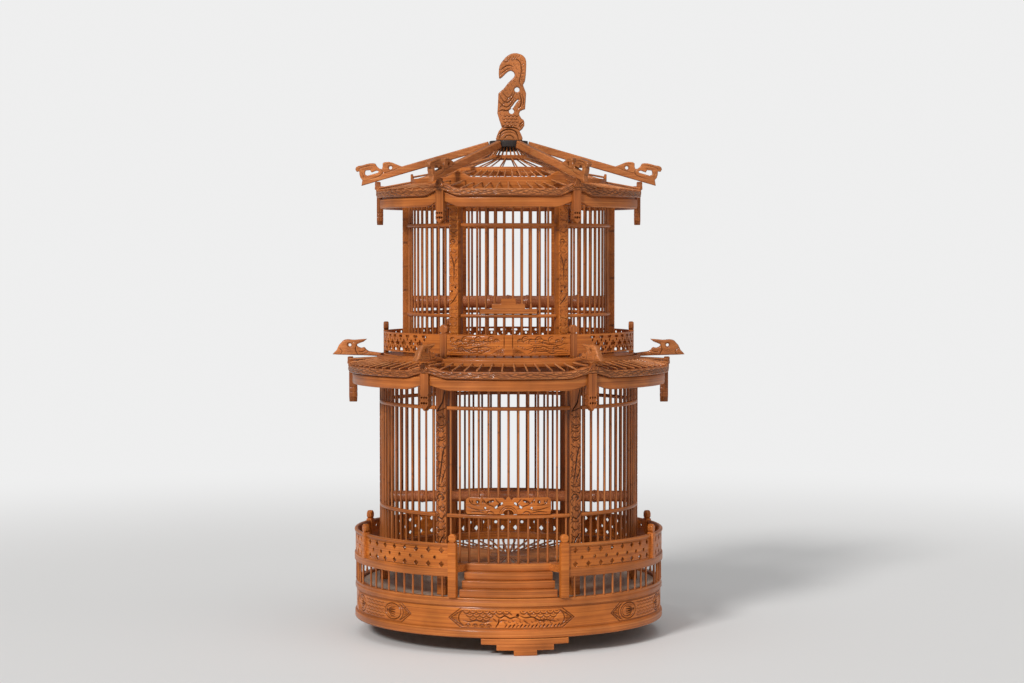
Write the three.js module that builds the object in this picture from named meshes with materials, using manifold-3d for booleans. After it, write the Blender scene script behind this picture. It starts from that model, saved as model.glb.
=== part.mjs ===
// Bamboo bird cage: a drum base with a balustrade and a stair, and two round storeys,
// each under a six-cornered roof, with a carved hook on top.
// Millimetres, +Z up, origin on the ground at the middle of the base.
// Azimuths are in degrees: 0 is the front (-Y), and positive turns to the viewer's right (+X).

import * as THREE from 'three';
import { mergeVertices } from 'three/addons/utils/BufferGeometryUtils.js';
import Module from 'manifold-3d';

const wasm = await Module();
wasm.setup();

// Fits shared by all pieces
const clearance = 0.3;
const slideClearance = 0.5;
const cutOverrun = 2;
const glueOverlap = 0.4;

// Symmetry and facet counts
const cornerCount = 6;
const sectorAngle = 360 / cornerCount;
const firstCorner = sectorAngle / 2;
const eaveFacets = 36;
const drumFacets = 30;
const ringFacets = 24;
const bayFacets = 5;
const splintSides = 3;
const roundSides = 8;
const curveSegments = 3;

// Feet
const footHeight = 20;
const footDepth = 9;
const footTierCount = 3;
const footWidthShares = [0.26, 0.65, 1];
const footWidth = 105;
const footAzimuths = [6, 126, 246];

// Base drum: bottom rim, carved skirt and top rim in one bent wall
const baseRadius = 192;
const bottomRimHeight = 10;
const skirtHeight = 27;
const topRimHeight = 10;
const skirtSetback = 2;
const topRimSetback = 0.5;
const drumWall = 14;
const deckLedge = 5;
const deckThickness = 6;
const deckSetdown = 3;

// Balustrade on the base
const balusterThickness = 2.8;
const balusterHeight = 24.4;
const balusterSetback = 6;
const balustersPerPanelCount = 10;
const panelCount = 7;
const sidePanelCount = 2;
const panelFacets = 3;
const railHeight = 9.8;
const railDepth = 5.5;
const fretHeight = 25.5;
const fretThickness = 3;
const fretSetback = 3.2;
const topRollHeight = 4;
const topRollDepth = 4.5;
const newelWidth = 9.4;
const newelDepth = 7.5;
const finialThickness = 10.5;
const finialNeck = 3;
const finialShares = [[0.25, 0], [0.5, 0.333], [0.5, 0.667], [0, 1]];
const stairHalfAngle = 20.5;

// Stair
const stepHeight = 9.4;
const stepTread = 7;
const stepNosing = 4.5;
const stepEndGap = 2.4;
const stepWidthShares = [1, 0.979, 0.9, 0.87];
const cheekHeight = 9;
const cheekThickness = 4;

// Lower storey
const walkwayWidth = 34;
const lowerBarCircle = baseRadius - walkwayWidth;
const lowerBarThickness = 3;
const lowerBarPlaceCount = 84;
const lowerBarsPerBayCount = 13;
const lowerDoorBarCount = 9;
const lowerSillRise = 31;
const lowerSillHeight = 9.5;
const lowerSillWidth = 12;
const lowerLegWidth = 12;
const lowerPostWidth = 15;
const lowerPostDepth = 11;
const lowerPostProud = 3;
const lowerStoreyHeight = 211.5;
const lowerHoopRise = 55.5;
const lowerHoopDrop = 28;
const lowerHoopHeight = 4.5;
const lowerHoopWidth = 5.5;
const lowerHeadWidth = 7;
const lowerHeadHeight = 8.7;

// Lower door plate, on the outside of the door's bars
const lowerDoorTurn = Math.PI * (lowerDoorBarCount - 1) / lowerBarPlaceCount;
const lowerDoorSpread = 2 * lowerBarCircle * Math.sin(lowerDoorTurn);
const lowerPlateOverhang = 4.4;
const lowerPlateWidth = lowerDoorSpread + 2 * lowerPlateOverhang;
const lowerPlateHeight = 22;
const lowerPlateRise = 2.6;
const lowerPlateThickness = 4.5;

// Floor grille of the lower storey
const floorSplintCount = 36;
const floorSplintThickness = 3;
const floorHubRadius = 24;
const floorSplintInset = 3;
const floorHubHeight = 3.4;
const floorHubFacets = 12;

// Perches
const lowerPerchThickness = 13;
const lowerPerchRise = 65;
const upperPerchThickness = 13.5;
const upperPerchRise = 64;
const perchNodeCount = 4;
const perchNodeSwell = 1.2;
const perchSides = 6;

// Lower eave, fascia and pendants
const lowerEaveOverhang = 42;
const lowerEaveRadius = lowerBarCircle + lowerEaveOverhang;
const lowerEaveHeight = 8.6;
const lowerFasciaHeight = 14;
const lowerFasciaThickness = 5;
const lowerFasciaSetback = 5;
const lowerCornerLift = 9;
const cornerLiftHalfAngle = 15;
const armWidth = 10;
const cornerBlockWidth = 11;
const lowerBlockDepth = 10;
const lowerBlockSetback = -2;
const lowerPendantWidth = 12;
const lowerPendantHeight = 37;
const lowerPendantDepth = 11;

// Lower roof
const lowerRoofSplintCount = 28;
const lowerRoofBandRadius = lowerBarCircle + lowerPostProud;
const lowerRoofBandThickness = 3.4;
const lowerRoofBandHeight = 8.5;
const lowerRoofBandRise = 4.6;
const lowerRoofSplintDrop = 4.5;
const roofSplintThickness = 2.8;

// Bird heads on the lower roof's corners
const birdRootInset = 2;
const birdOverhang = 20;
const birdRootRadius = lowerRoofBandRadius - birdRootInset;
const birdReach = lowerEaveRadius + birdOverhang - birdRootRadius;
const birdHeight = 21.8;
const birdThickness = 8;
const birdEyeRadius = 2.2;

// Gallery between the storeys
const galleryFloorThickness = 6;
const galleryBlockHeight = 17;
const galleryBlockDepth = 6;
const galleryRailRadius = lowerBarCircle - lowerBarThickness / 2 - slideClearance;
const galleryRailThickness = 3;
const galleryBoardHeight = 27.5;
const galleryPostWidth = 8;
const galleryPostDepth = 6;
const galleryPostHeight = 40;
const galleryFinialThickness = 10;

// Upper storey
const upperStoreyInset = 33.6;
const upperBarCircle = lowerBarCircle - upperStoreyInset;
const upperBarThickness = 3;
const upperBarPlaceCount = 72;
const upperBarsPerBayCount = 10;
const upperDoorBarCount = 6;
const upperPostWidth = 12.6;
const upperPostDepth = 12;
const upperPostProud = 7.6;
const upperStoreyHeight = 182.7;
const upperHoopRise = 49;
const upperHoopDrop = 24.7;
const upperHoopHeight = 4.2;
const upperHoopWidth = 5.5;
const upperHeadWidth = 6;
const upperHeadHeight = 7.3;

// Upper door plate: three steps
const upperDoorTurn = Math.PI * (upperDoorBarCount - 1) / upperBarPlaceCount;
const upperDoorSpread = 2 * upperBarCircle * Math.sin(upperDoorTurn);
const upperPlateOverhang = 7.4;
const upperPlateWidth = upperDoorSpread + 2 * upperPlateOverhang;
const upperPlateWidthShares = [1, 0.577, 0.262];
const upperPlateHeight = 18.7;
const upperPlateRise = 2.5;
const upperPlateThickness = 5;

// Upper eave, fascia and pendants
const upperEaveOverhang = 40.6;
const upperEaveRadius = upperBarCircle + upperEaveOverhang;
const upperEaveHeight = 8.2;
const upperFasciaHeight = 11;
const upperFasciaThickness = 5;
const upperFasciaSetback = 4.5;
const upperCornerLift = 6.5;
const upperBlockDepth = 9;
const upperBlockSetback = -2.5;
const upperPendantWidth = 12;
const upperPendantHeight = 36;
const upperPendantDepth = 8;

// Upper roof: eave splints to the band, middle splints to the ring, top splints to the crown
const upperRoofSplintCount = 24;
const topSplintCount = 12;
const crownSplintCount = 12;
const bandInset = 2.4;
const bandRadius = upperBarCircle - bandInset;
const bandThickness = 3;
const bandHeight = 7;
const bandRise = 9;
const bandSeatRise = 2.4;
const midRingSpacing = 36;
const midRingRadius = bandRadius - midRingSpacing;
const midRingWidth = 3;
const midRingHeight = 5;
const midRingRise = 24.6;
const midSeatRise = 2.1;
const crownRingRadius = 20;
const crownRingWidth = 3;
const crownRingHeight = 3.6;
const crownRingRise = 43.6;
const topSplintEndRadius = 12;
const topSplintEndRise = 50;

// Ribs with carved heads
const ribOverhang = 18.3;
const ribHeight = 9.2;
const ribThickness = 7;
const ribFall = 47.8;
const ribHeadHeight = 25;
const ribHoleRadius = 2.2;

// Apex hub and hook
const hubRadius = 24;
const hubHeight = 4;
const hubNeckRadius = 9.5;
const hubNeckHeight = 9;
const hubRise = 61.5;
const pegRadius = 3;
const pegLength = 12;
const hookHeight = 108.4;
const hookWidth = 37.2;
const hookThickness = 11;
const hookHoleRadius = 3.3;

// Levels, each worked out from the pieces below it
const drumBottom = footHeight + clearance;
const drumTop = footHeight + bottomRimHeight + skirtHeight + topRimHeight;
const deckTop = drumTop - deckSetdown;
const railBottom = drumTop + balusterHeight;
const fretBottom = railBottom + railHeight;
const fretTop = fretBottom + fretHeight;
const balustradeTop = fretTop + topRollHeight;
const lowerSillBottom = deckTop + lowerSillRise;
const lowerSillTop = lowerSillBottom + lowerSillHeight;
const lowerHeadBottom = lowerSillTop + lowerStoreyHeight;
const lowerEaveBottom = lowerHeadBottom + lowerHeadHeight;
const lowerEaveTop = lowerEaveBottom + lowerEaveHeight;
const galleryFloorBottom = lowerEaveBottom + galleryBlockHeight;
const galleryFloorTop = galleryFloorBottom + galleryFloorThickness;
const upperHeadBottom = galleryFloorTop + upperStoreyHeight;
const upperEaveBottom = upperHeadBottom + upperHeadHeight;
const upperEaveTop = upperEaveBottom + upperEaveHeight;
const hubBottom = upperEaveTop + hubRise;
const hubTop = hubBottom + hubHeight;

// Finishes
const bamboo = new THREE.MeshStandardMaterial({ color: 0xbc6c34, roughness: 0.45, metalness: 0 });
const paleBamboo = new THREE.MeshStandardMaterial({ color: 0xc98a52, roughness: 0.5, metalness: 0 });
const carvedBamboo = new THREE.MeshStandardMaterial({ color: 0xa95f2c, roughness: 0.5, metalness: 0 });
const darkWhip = new THREE.MeshStandardMaterial({ color: 0x6e3415, roughness: 0.5, metalness: 0 });
const deckBoard = new THREE.MeshStandardMaterial({ color: 0x7a6a5c, roughness: 0.8, metalness: 0 });
const darkHub = new THREE.MeshStandardMaterial({ color: 0x3c3834, roughness: 0.7, metalness: 0 });

const cage = new THREE.Group();
cage.name = 'bamboo_bird_cage';

// Names of the six corners and of the six bays between them, from the front to the viewer's right
const cornerNames = ['front_right', 'right', 'rear_right', 'rear_left', 'left', 'front_left'];
const bayNames = ['front', 'front_right', 'rear_right', 'rear', 'rear_left', 'front_left'];
const cornerAzimuth = (corner) => firstCorner + corner * sectorAngle;
const bayAzimuth = (bay) => bay * sectorAngle;
const radians = THREE.MathUtils.degToRad;
const degrees = THREE.MathUtils.radToDeg;

// A closed three.js geometry as a solid with its faces turned outwards
function solid(geometry) {
  const bare = geometry.clone();
  bare.deleteAttribute('normal');
  bare.deleteAttribute('uv');
  const merged = mergeVertices(bare);
  const points = merged.attributes.position.array;
  const corners = [];
  const a = new THREE.Vector3();
  const b = new THREE.Vector3();
  const c = new THREE.Vector3();
  let volume = 0;
  for (let i = 0; i < merged.index.count; i += 3) {
    const face = [0, 1, 2].map((k) => merged.index.getX(i + k));
    const flat = face[0] === face[1] || face[1] === face[2] || face[2] === face[0];
    if (flat) continue;
    corners.push(...face);
    a.fromArray(points, 3 * face[0]);
    b.fromArray(points, 3 * face[1]);
    c.fromArray(points, 3 * face[2]);
    volume += a.dot(b.cross(c));
  }
  if (volume < 0) corners.reverse();
  const mesh = { numProp: 3, vertProperties: new Float32Array(points), triVerts: new Uint32Array(corners) };
  return new wasm.Manifold(new wasm.Mesh(mesh));
}

// One solid from several that overlap
function joined(solids) {
  return solids.reduce((whole, piece) => whole.add(piece));
}

// Puts a finished solid into the cage as a named piece
function piece(name, shape, material) {
  const mesh = shape.getMesh();
  const geometry = new THREE.BufferGeometry();
  geometry.setAttribute('position', new THREE.BufferAttribute(mesh.vertProperties, 3));
  geometry.setIndex(new THREE.BufferAttribute(mesh.triVerts, 1));
  geometry.computeVertexNormals();
  const made = new THREE.Mesh(geometry, material);
  made.name = name;
  cage.add(made);
}

// The point at a radius, an azimuth and a height
function spot(radius, azimuth, height) {
  const turn = radians(azimuth);
  return new THREE.Vector3(radius * Math.sin(turn), -radius * Math.cos(turn), height);
}

// A flat outline pulled up from one height to another
function pulledUp(outline, bottom, top) {
  const geometry = new THREE.ExtrudeGeometry(outline, { depth: top - bottom, bevelEnabled: false });
  return geometry.translate(0, 0, bottom);
}

// A board bent round the cage's axis, between two radii, azimuths and heights
function bentBoard(inner, outer, from, to, bottom, top, facets) {
  const outline = new THREE.Shape();
  for (let i = 0; i <= facets; i += 1) {
    const place = spot(outer, from + (to - from) * i / facets, bottom);
    if (i === 0) outline.moveTo(place.x, place.y);
    else outline.lineTo(place.x, place.y);
  }
  for (let i = facets; i >= 0; i -= 1) {
    const place = spot(inner, from + (to - from) * i / facets, bottom);
    outline.lineTo(place.x, place.y);
  }
  return solid(pulledUp(outline, bottom, top));
}

// A full hoop with the closed section that the [radius, height] pairs give
function hoop(section, facets) {
  const profile = [...section, section[0]].map(([radius, height]) => new THREE.Vector2(radius, height));
  return new THREE.LatheGeometry(profile, facets).rotateX(Math.PI / 2);
}

// The section of a plain square-edged hoop
function flatSection(inner, outer, bottom, top) {
  return [[inner, bottom], [outer, bottom], [outer, top], [inner, top]];
}

// How far the eaves and bands rise towards the nearest corner
function cornerBump(azimuth) {
  const turned = ((azimuth % sectorAngle) + sectorAngle) % sectorAngle;
  const distance = Math.abs(turned - firstCorner);
  if (distance >= cornerLiftHalfAngle) return 0;
  return Math.cos(radians(90 * distance / cornerLiftHalfAngle)) ** 2;
}

// The same rise as the eave's straight facets have between their edges
function facetBump(azimuth) {
  const facet = 360 / eaveFacets;
  const edge = Math.floor(azimuth / facet) * facet;
  const share = (azimuth - edge) / facet;
  return cornerBump(edge) * (1 - share) + cornerBump(edge + facet) * share;
}

// Raises a hoop's corners by the rise given
function liftCorners(geometry, rise) {
  const places = geometry.attributes.position;
  for (let i = 0; i < places.count; i += 1) {
    const azimuth = degrees(Math.atan2(places.getX(i), -places.getY(i)));
    places.setZ(i, places.getZ(i) + rise * cornerBump(azimuth));
  }
  return geometry;
}

// The corner radius of a three-sided splint whose faces are as wide as the thickness given
function splintCorner(thickness) {
  return thickness / (2 * Math.sin(Math.PI / splintSides));
}

// An upright three-sided bar on a circle, with one face outwards
function bar(thickness, circle, azimuth, bottom, top) {
  const corner = splintCorner(thickness);
  const geometry = new THREE.CylinderGeometry(corner, corner, top - bottom, splintSides);
  geometry.rotateX(Math.PI / 2).rotateZ(Math.PI / splintSides);
  geometry.translate(0, -circle, (bottom + top) / 2);
  return solid(geometry.rotateZ(radians(azimuth)));
}

// A straight three-sided splint between two points, with one face upwards
function splint(thickness, start, end) {
  const run = end.clone().sub(start);
  const corner = splintCorner(thickness);
  const geometry = new THREE.CylinderGeometry(corner, corner, run.length(), splintSides);
  geometry.rotateY(Math.PI / splintSides);
  const along = run.clone().normalize();
  const across = along.clone().cross(new THREE.Vector3(0, 0, 1)).normalize();
  const over = across.clone().cross(along);
  geometry.applyMatrix4(new THREE.Matrix4().makeBasis(across, along, over));
  const middle = start.clone().add(end).multiplyScalar(0.5);
  return solid(geometry.translate(middle.x, middle.y, middle.z));
}

// A flat plate that stands in the radial plane: its outline's x is the radius and its y the height
function radialPlate(outline, thickness, azimuth) {
  const settings = { depth: thickness, bevelEnabled: false, curveSegments };
  const geometry = new THREE.ExtrudeGeometry(outline, settings);
  geometry.translate(0, 0, -thickness / 2);
  const outwards = new THREE.Vector3(0, -1, 0);
  const upwards = new THREE.Vector3(0, 0, 1);
  const sideways = new THREE.Vector3(-1, 0, 0);
  geometry.applyMatrix4(new THREE.Matrix4().makeBasis(outwards, upwards, sideways));
  return solid(geometry.rotateZ(radians(azimuth)));
}

// A flat plate that faces outwards: its outline's x runs to the right and its y up
function facingPlate(outline, inner, outer, azimuth) {
  const depth = outer - inner;
  const geometry = new THREE.ExtrudeGeometry(outline, { depth, bevelEnabled: false, curveSegments });
  geometry.rotateX(Math.PI / 2);
  geometry.translate(0, -inner, 0);
  return solid(geometry.rotateZ(radians(azimuth)));
}

// An upright box that faces outwards
function block(width, inner, outer, azimuth, bottom, top) {
  const geometry = new THREE.BoxGeometry(width, outer - inner, top - bottom);
  geometry.translate(0, -(inner + outer) / 2, (bottom + top) / 2);
  return solid(geometry.rotateZ(radians(azimuth)));
}

// A polygon through points given as shares of a width and a height
function sharesOutline(shares, width, height, left = 0, bottom = 0) {
  const points = shares.map(([x, y]) => new THREE.Vector2(left + x * width, bottom + y * height));
  return new THREE.Shape(points);
}

// A faceted ball on a short neck, fused to the top of the post below it
function finial(thickness, circle, azimuth, seat) {
  const neck = finialShares[0][0] * thickness;
  const ball = finialShares.map(([x, y]) => [x * thickness, seat + finialNeck + y * thickness]);
  const profile = [[0, seat - glueOverlap], [neck, seat - glueOverlap], ...ball]
    .map(([radius, height]) => new THREE.Vector2(radius, height));
  const turned = new THREE.LatheGeometry(profile, cornerCount);
  turned.rotateX(Math.PI / 2).translate(0, -circle, 0);
  return solid(turned.rotateZ(radians(azimuth)));
}

// Base: feet, drum and deck board
function makeBase() {
  const tierHeight = footHeight / footTierCount;
  footAzimuths.forEach((azimuth, index) => {
    const tiers = footWidthShares.map((share, tier) => {
      const half = degrees(share * footWidth / 2 / baseRadius);
      const bottom = Math.max(0, tier * tierHeight - glueOverlap);
      return bentBoard(baseRadius - footDepth, baseRadius, azimuth - half, azimuth + half, bottom,
        (tier + 1) * tierHeight, tier + 1);
    });
    piece(`foot_${index + 1}`, joined(tiers), carvedBamboo);
  });

  const innerRadius = baseRadius - drumWall;
  const rebateRadius = innerRadius + deckLedge;
  const ledgeTop = deckTop - deckThickness - clearance;
  const skirtRadius = baseRadius - skirtSetback;
  const topRimRadius = baseRadius - topRimSetback;
  const skirtBottom = footHeight + bottomRimHeight;
  const skirtTop = skirtBottom + skirtHeight;
  const drum = hoop([
    [innerRadius, drumBottom], [baseRadius, drumBottom], [baseRadius, skirtBottom],
    [skirtRadius, skirtBottom], [skirtRadius, skirtTop], [topRimRadius, skirtTop],
    [topRimRadius, drumTop], [rebateRadius, drumTop], [rebateRadius, ledgeTop],
    [innerRadius, ledgeTop],
  ], drumFacets);
  piece('base_drum', solid(drum), bamboo);

  const deckRadius = rebateRadius - clearance;
  const deck = new THREE.CylinderGeometry(deckRadius, deckRadius, deckThickness, drumFacets);
  deck.rotateX(Math.PI / 2).translate(0, 0, deckTop - deckThickness / 2);
  piece('deck_board', solid(deck), deckBoard);
}

// Balustrade: bent rails, a fret and carved newels, with the balusters under the rail.
// It goes round in three lengths, and the two that end at the stair have full-height newels there.
const panelAngle = (360 - 2 * stairHalfAngle) / panelCount;
const newelOuter = baseRadius;
const newelInner = newelOuter - newelDepth;
const newelCircle = (newelOuter + newelInner) / 2;
const railOuter = baseRadius - skirtSetback;
const railInner = railOuter - railDepth;
const newelHalf = degrees((newelWidth / 2 + clearance) / railInner);
const panelEdge = (edge) => stairHalfAngle + edge * panelAngle;

// One length, between two panel edges, with newels at the edges in the list
function makeBalustradeLength(side, firstEdge, lastEdge, newelEdges) {
  const fretOuter = baseRadius - fretSetback;
  const fretInner = fretOuter - fretThickness;
  const rollInner = railOuter - topRollDepth;
  const start = panelEdge(firstEdge) + (newelEdges.includes(firstEdge) ? 0 : newelHalf);
  const end = panelEdge(lastEdge) - (newelEdges.includes(lastEdge) ? 0 : newelHalf);
  const facets = (lastEdge - firstEdge) * panelFacets;
  const solids = [
    bentBoard(railInner, railOuter, start, end, railBottom, fretBottom, facets),
    bentBoard(fretInner, fretOuter, start, end, fretBottom - glueOverlap, fretTop + glueOverlap, facets),
    bentBoard(rollInner, railOuter, start, end, fretTop, balustradeTop, facets),
  ];
  newelEdges.forEach((edge) => {
    const atStair = edge === 0 || edge === panelCount;
    const bottom = atStair ? drumTop + clearance : fretBottom - glueOverlap;
    solids.push(block(newelWidth, newelInner, newelOuter, panelEdge(edge), bottom, balustradeTop));
    solids.push(finial(finialThickness, newelCircle, panelEdge(edge), balustradeTop));
  });
  const balusterCircle = baseRadius - balusterSetback + balusterThickness / 2;
  for (let panel = firstEdge; panel < lastEdge; panel += 1) {
    for (let i = 1; i <= balustersPerPanelCount; i += 1) {
      const azimuth = panelEdge(panel + i / (balustersPerPanelCount + 1));
      solids.push(bar(balusterThickness, balusterCircle, azimuth, drumTop + clearance,
        railBottom + glueOverlap));
    }
  }
  piece(`balustrade_${side}`, joined(solids), bamboo);
}

// The whole balustrade: the rear length has the newels where the side lengths meet it
function makeBalustrade() {
  const edges = Array.from({ length: panelCount + 1 }, (_, i) => i);
  const firstRear = sidePanelCount;
  const lastRear = panelCount - sidePanelCount;
  makeBalustradeLength('right', 0, firstRear, edges.filter((edge) => edge < firstRear));
  makeBalustradeLength('rear', firstRear, lastRear, edges.slice(firstRear, lastRear + 1));
  makeBalustradeLength('left', lastRear, panelCount, edges.filter((edge) => edge > lastRear));
}

// Stair: four boards, each set back from the one below, and two cheek rails that run out to the newels
function makeStair() {
  const back = lowerBarCircle + lowerPostProud + 2 * clearance;
  const stepWidth = 2 * (newelInner * Math.sin(radians(stairHalfAngle)) - newelWidth / 2 - stepEndGap);
  let topEdge = 0;
  const boards = stepWidthShares.map((share, step) => {
    const front = back + stepNosing + (stepWidthShares.length - 1 - step) * stepTread;
    const half = degrees(share * stepWidth / 2 / front);
    const bottom = drumTop + clearance + step * stepHeight - (step > 0 ? glueOverlap : 0);
    const top = drumTop + (step + 1) * stepHeight;
    topEdge = half;
    return bentBoard(back, front, -half, half, bottom, top, bayFacets);
  });
  const cheekBottom = lowerSillTop - cheekHeight;
  const cheekReach = newelInner - clearance;
  const cheekHalf = degrees(cheekThickness / 2 / cheekReach);
  const cheeks = [-1, 1].map((sign) => {
    const corners = [
      spot(back, sign * (topEdge - degrees(glueOverlap / back)), 0),
      spot(back, sign * (topEdge + degrees(cheekThickness / back)), 0),
      spot(cheekReach, sign * (stairHalfAngle + cheekHalf), 0),
      spot(cheekReach, sign * (stairHalfAngle - cheekHalf), 0),
    ];
    const outline = new THREE.Shape(corners.map((corner) => new THREE.Vector2(corner.x, corner.y)));
    return solid(pulledUp(outline, cheekBottom, lowerSillTop));
  });
  piece('stair', joined([...boards, ...cheeks]), bamboo);
}

// One bay's fixed bars with its two hoops, which stop against the posts
function makeBay(storey, bay) {
  const centre = bayAzimuth(bay);
  const hoopInner = storey.barCircle - storey.hoopWidth / 2;
  const postHalf = degrees(Math.asin((storey.postWidth / 2 + clearance) / hoopInner));
  const reach = firstCorner - postHalf;
  const hoopOuter = hoopInner + storey.hoopWidth;
  const solids = storey.hoopHeights.map((height) => bentBoard(hoopInner, hoopOuter, centre - reach,
    centre + reach, storey.sillTop + height - storey.hoopHeight / 2,
    storey.sillTop + height + storey.hoopHeight / 2, bayFacets));
  const pitch = 360 / storey.barPlaceCount;
  const middlePlace = (storey.barsPerBayCount - 1) / 2;
  const offsets = Array.from({ length: storey.barsPerBayCount }, (_, i) => (i - middlePlace) * pitch);
  const doorReach = bay === 0 ? storey.doorBarCount / 2 * pitch : 0;
  offsets.filter((offset) => Math.abs(offset) >= doorReach).forEach((offset) => {
    solids.push(bar(storey.barThickness, storey.barCircle, centre + offset, storey.sillTop + clearance,
      storey.barTop));
  });
  let wall = joined(solids);
  if (bay === 0) {
    offsets.filter((offset) => Math.abs(offset) < doorReach).forEach((offset) => {
      wall = wall.subtract(bar(storey.barThickness + 2 * slideClearance, storey.barCircle, offset,
        storey.sillTop, storey.barTop));
    });
  }
  piece(`${storey.name}_bars_${bayNames[bay]}`, wall, paleBamboo);
}

// A storey's six posts and its six bays of bars
function makeStorey(storey) {
  for (let corner = 0; corner < cornerCount; corner += 1) {
    const outer = storey.barCircle + storey.postProud;
    const post = block(storey.postWidth, outer - storey.postDepth, outer, cornerAzimuth(corner),
      storey.sillTop + clearance, storey.headBottom - clearance);
    piece(`${storey.name}_post_${cornerNames[corner]}`, post, carvedBamboo);
  }
  for (let bay = 0; bay < cornerCount; bay += 1) makeBay(storey, bay);
}

// A door: the middle bars of the front bay on a plate, free to slide up through the hoops
function makeDoor(storey, plate) {
  const pitch = 360 / storey.barPlaceCount;
  const solids = [plate];
  for (let i = 0; i < storey.doorBarCount; i += 1) {
    const azimuth = (i - (storey.doorBarCount - 1) / 2) * pitch;
    solids.push(bar(storey.barThickness, storey.barCircle, azimuth, storey.sillTop + clearance,
      storey.barTop));
  }
  piece(`${storey.name}_door`, joined(solids), paleBamboo);
}

// The outline of the lower door plate: two round-ended halves that meet in a raised middle
const lowerPlateShares = [
  [-0.5, 0.3], [-0.47, 0.08], [-0.42, 0], [-0.06, 0], [0, 0.08], [0.06, 0], [0.42, 0], [0.47, 0.08],
  [0.5, 0.3], [0.5, 0.62], [0.47, 0.84], [0.42, 0.9], [0.09, 0.88], [0.03, 0.94], [0, 1],
  [-0.03, 0.94], [-0.09, 0.88], [-0.42, 0.9], [-0.47, 0.84], [-0.5, 0.62],
];

// The lower door plate, bent to the circle of the bars
function lowerDoorPlate(storey) {
  const inner = storey.barCircle;
  const bottom = storey.sillTop + storey.hoopHeights[0] + lowerPlateRise;
  const half = degrees(lowerPlateWidth / inner);
  const slab = bentBoard(inner, inner + lowerPlateThickness, -half, half, bottom - cutOverrun,
    bottom + lowerPlateHeight + cutOverrun, bayFacets);
  const outline = sharesOutline(lowerPlateShares, lowerPlateWidth, lowerPlateHeight, 0, bottom);
  const cutter = facingPlate(outline, inner - lowerPlateWidth, inner + lowerPlateWidth, 0);
  return slab.intersect(cutter);
}

// The upper door plate: three steps, the widest at the bottom
function upperDoorPlate(storey) {
  const inner = storey.barCircle;
  const bottom = storey.sillTop + storey.hoopHeights[0] + upperPlateRise;
  const tierHeight = upperPlateHeight / upperPlateWidthShares.length;
  return joined(upperPlateWidthShares.map((share, tier) => {
    const half = degrees(share * upperPlateWidth / 2 / inner);
    const start = bottom + tier * tierHeight - (tier > 0 ? glueOverlap : 0);
    return bentBoard(inner, inner + upperPlateThickness, -half, half, start,
      bottom + (tier + 1) * tierHeight, upperPlateWidthShares.length - tier);
  }));
}

// A perch: a bamboo whip with swollen nodes, from wall to wall along X
function makePerch(name, storey, thickness, rise) {
  const reach = storey.barCircle + storey.postProud - storey.postDepth - clearance;
  const radius = thickness / 2;
  const profile = [new THREE.Vector2(0, -reach), new THREE.Vector2(radius, -reach)];
  for (let i = 1; i <= perchNodeCount; i += 1) {
    const along = -reach + 2 * reach * i / (perchNodeCount + 1);
    profile.push(new THREE.Vector2(radius, along - thickness / 2));
    profile.push(new THREE.Vector2(radius + perchNodeSwell, along));
    profile.push(new THREE.Vector2(radius, along + thickness / 2));
  }
  profile.push(new THREE.Vector2(radius, reach), new THREE.Vector2(0, reach));
  const whip = new THREE.LatheGeometry(profile, perchSides).rotateZ(Math.PI / 2);
  piece(name, solid(whip.translate(0, 0, storey.sillTop + rise)), darkWhip);
}

// Sill ring of the lower storey on six short legs, and the radial floor grille inside it
function makeSillAndFloor() {
  const outer = lowerBarCircle + lowerPostProud;
  const inner = outer - lowerSillWidth;
  const sill = solid(hoop(flatSection(inner, outer, lowerSillBottom, lowerSillTop), ringFacets));
  const legs = cornerNames.map((name, corner) => block(lowerLegWidth, inner + clearance, outer - clearance,
    cornerAzimuth(corner), deckTop + clearance, lowerSillBottom + glueOverlap));
  piece('lower_sill_ring', joined([sill, ...legs]), bamboo);

  const top = lowerSillBottom - clearance;
  const middle = top - floorSplintThickness / 2;
  const hub = new THREE.CylinderGeometry(floorHubRadius, floorHubRadius, floorHubHeight, floorHubFacets);
  hub.rotateX(Math.PI / 2).translate(0, 0, middle);
  const solids = [solid(hub)];
  for (let i = 0; i < floorSplintCount; i += 1) {
    const azimuth = (i + 0.5) * 360 / floorSplintCount;
    solids.push(splint(floorSplintThickness, spot(floorHubRadius - floorSplintInset, azimuth, middle),
      spot(inner + lowerSillWidth / 2, azimuth, middle)));
  }
  const grille = joined(solids);
  const room = legs.map((leg, corner) => block(lowerLegWidth + 2 * clearance, inner, outer,
    cornerAzimuth(corner), deckTop, lowerSillBottom));
  piece('lower_floor_grille', grille.subtract(joined(room)), paleBamboo);
}

// The outline of a pendant: a neck over a scalloped block with a pointed foot
const pendantShares = [
  [-0.5, 1], [-0.5, 0.76], [-0.3, 0.66], [-0.5, 0.56], [-0.5, 0.2], [0, 0], [0.5, 0.2], [0.5, 0.56],
  [0.3, 0.66], [0.5, 0.76], [0.5, 1],
];

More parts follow.
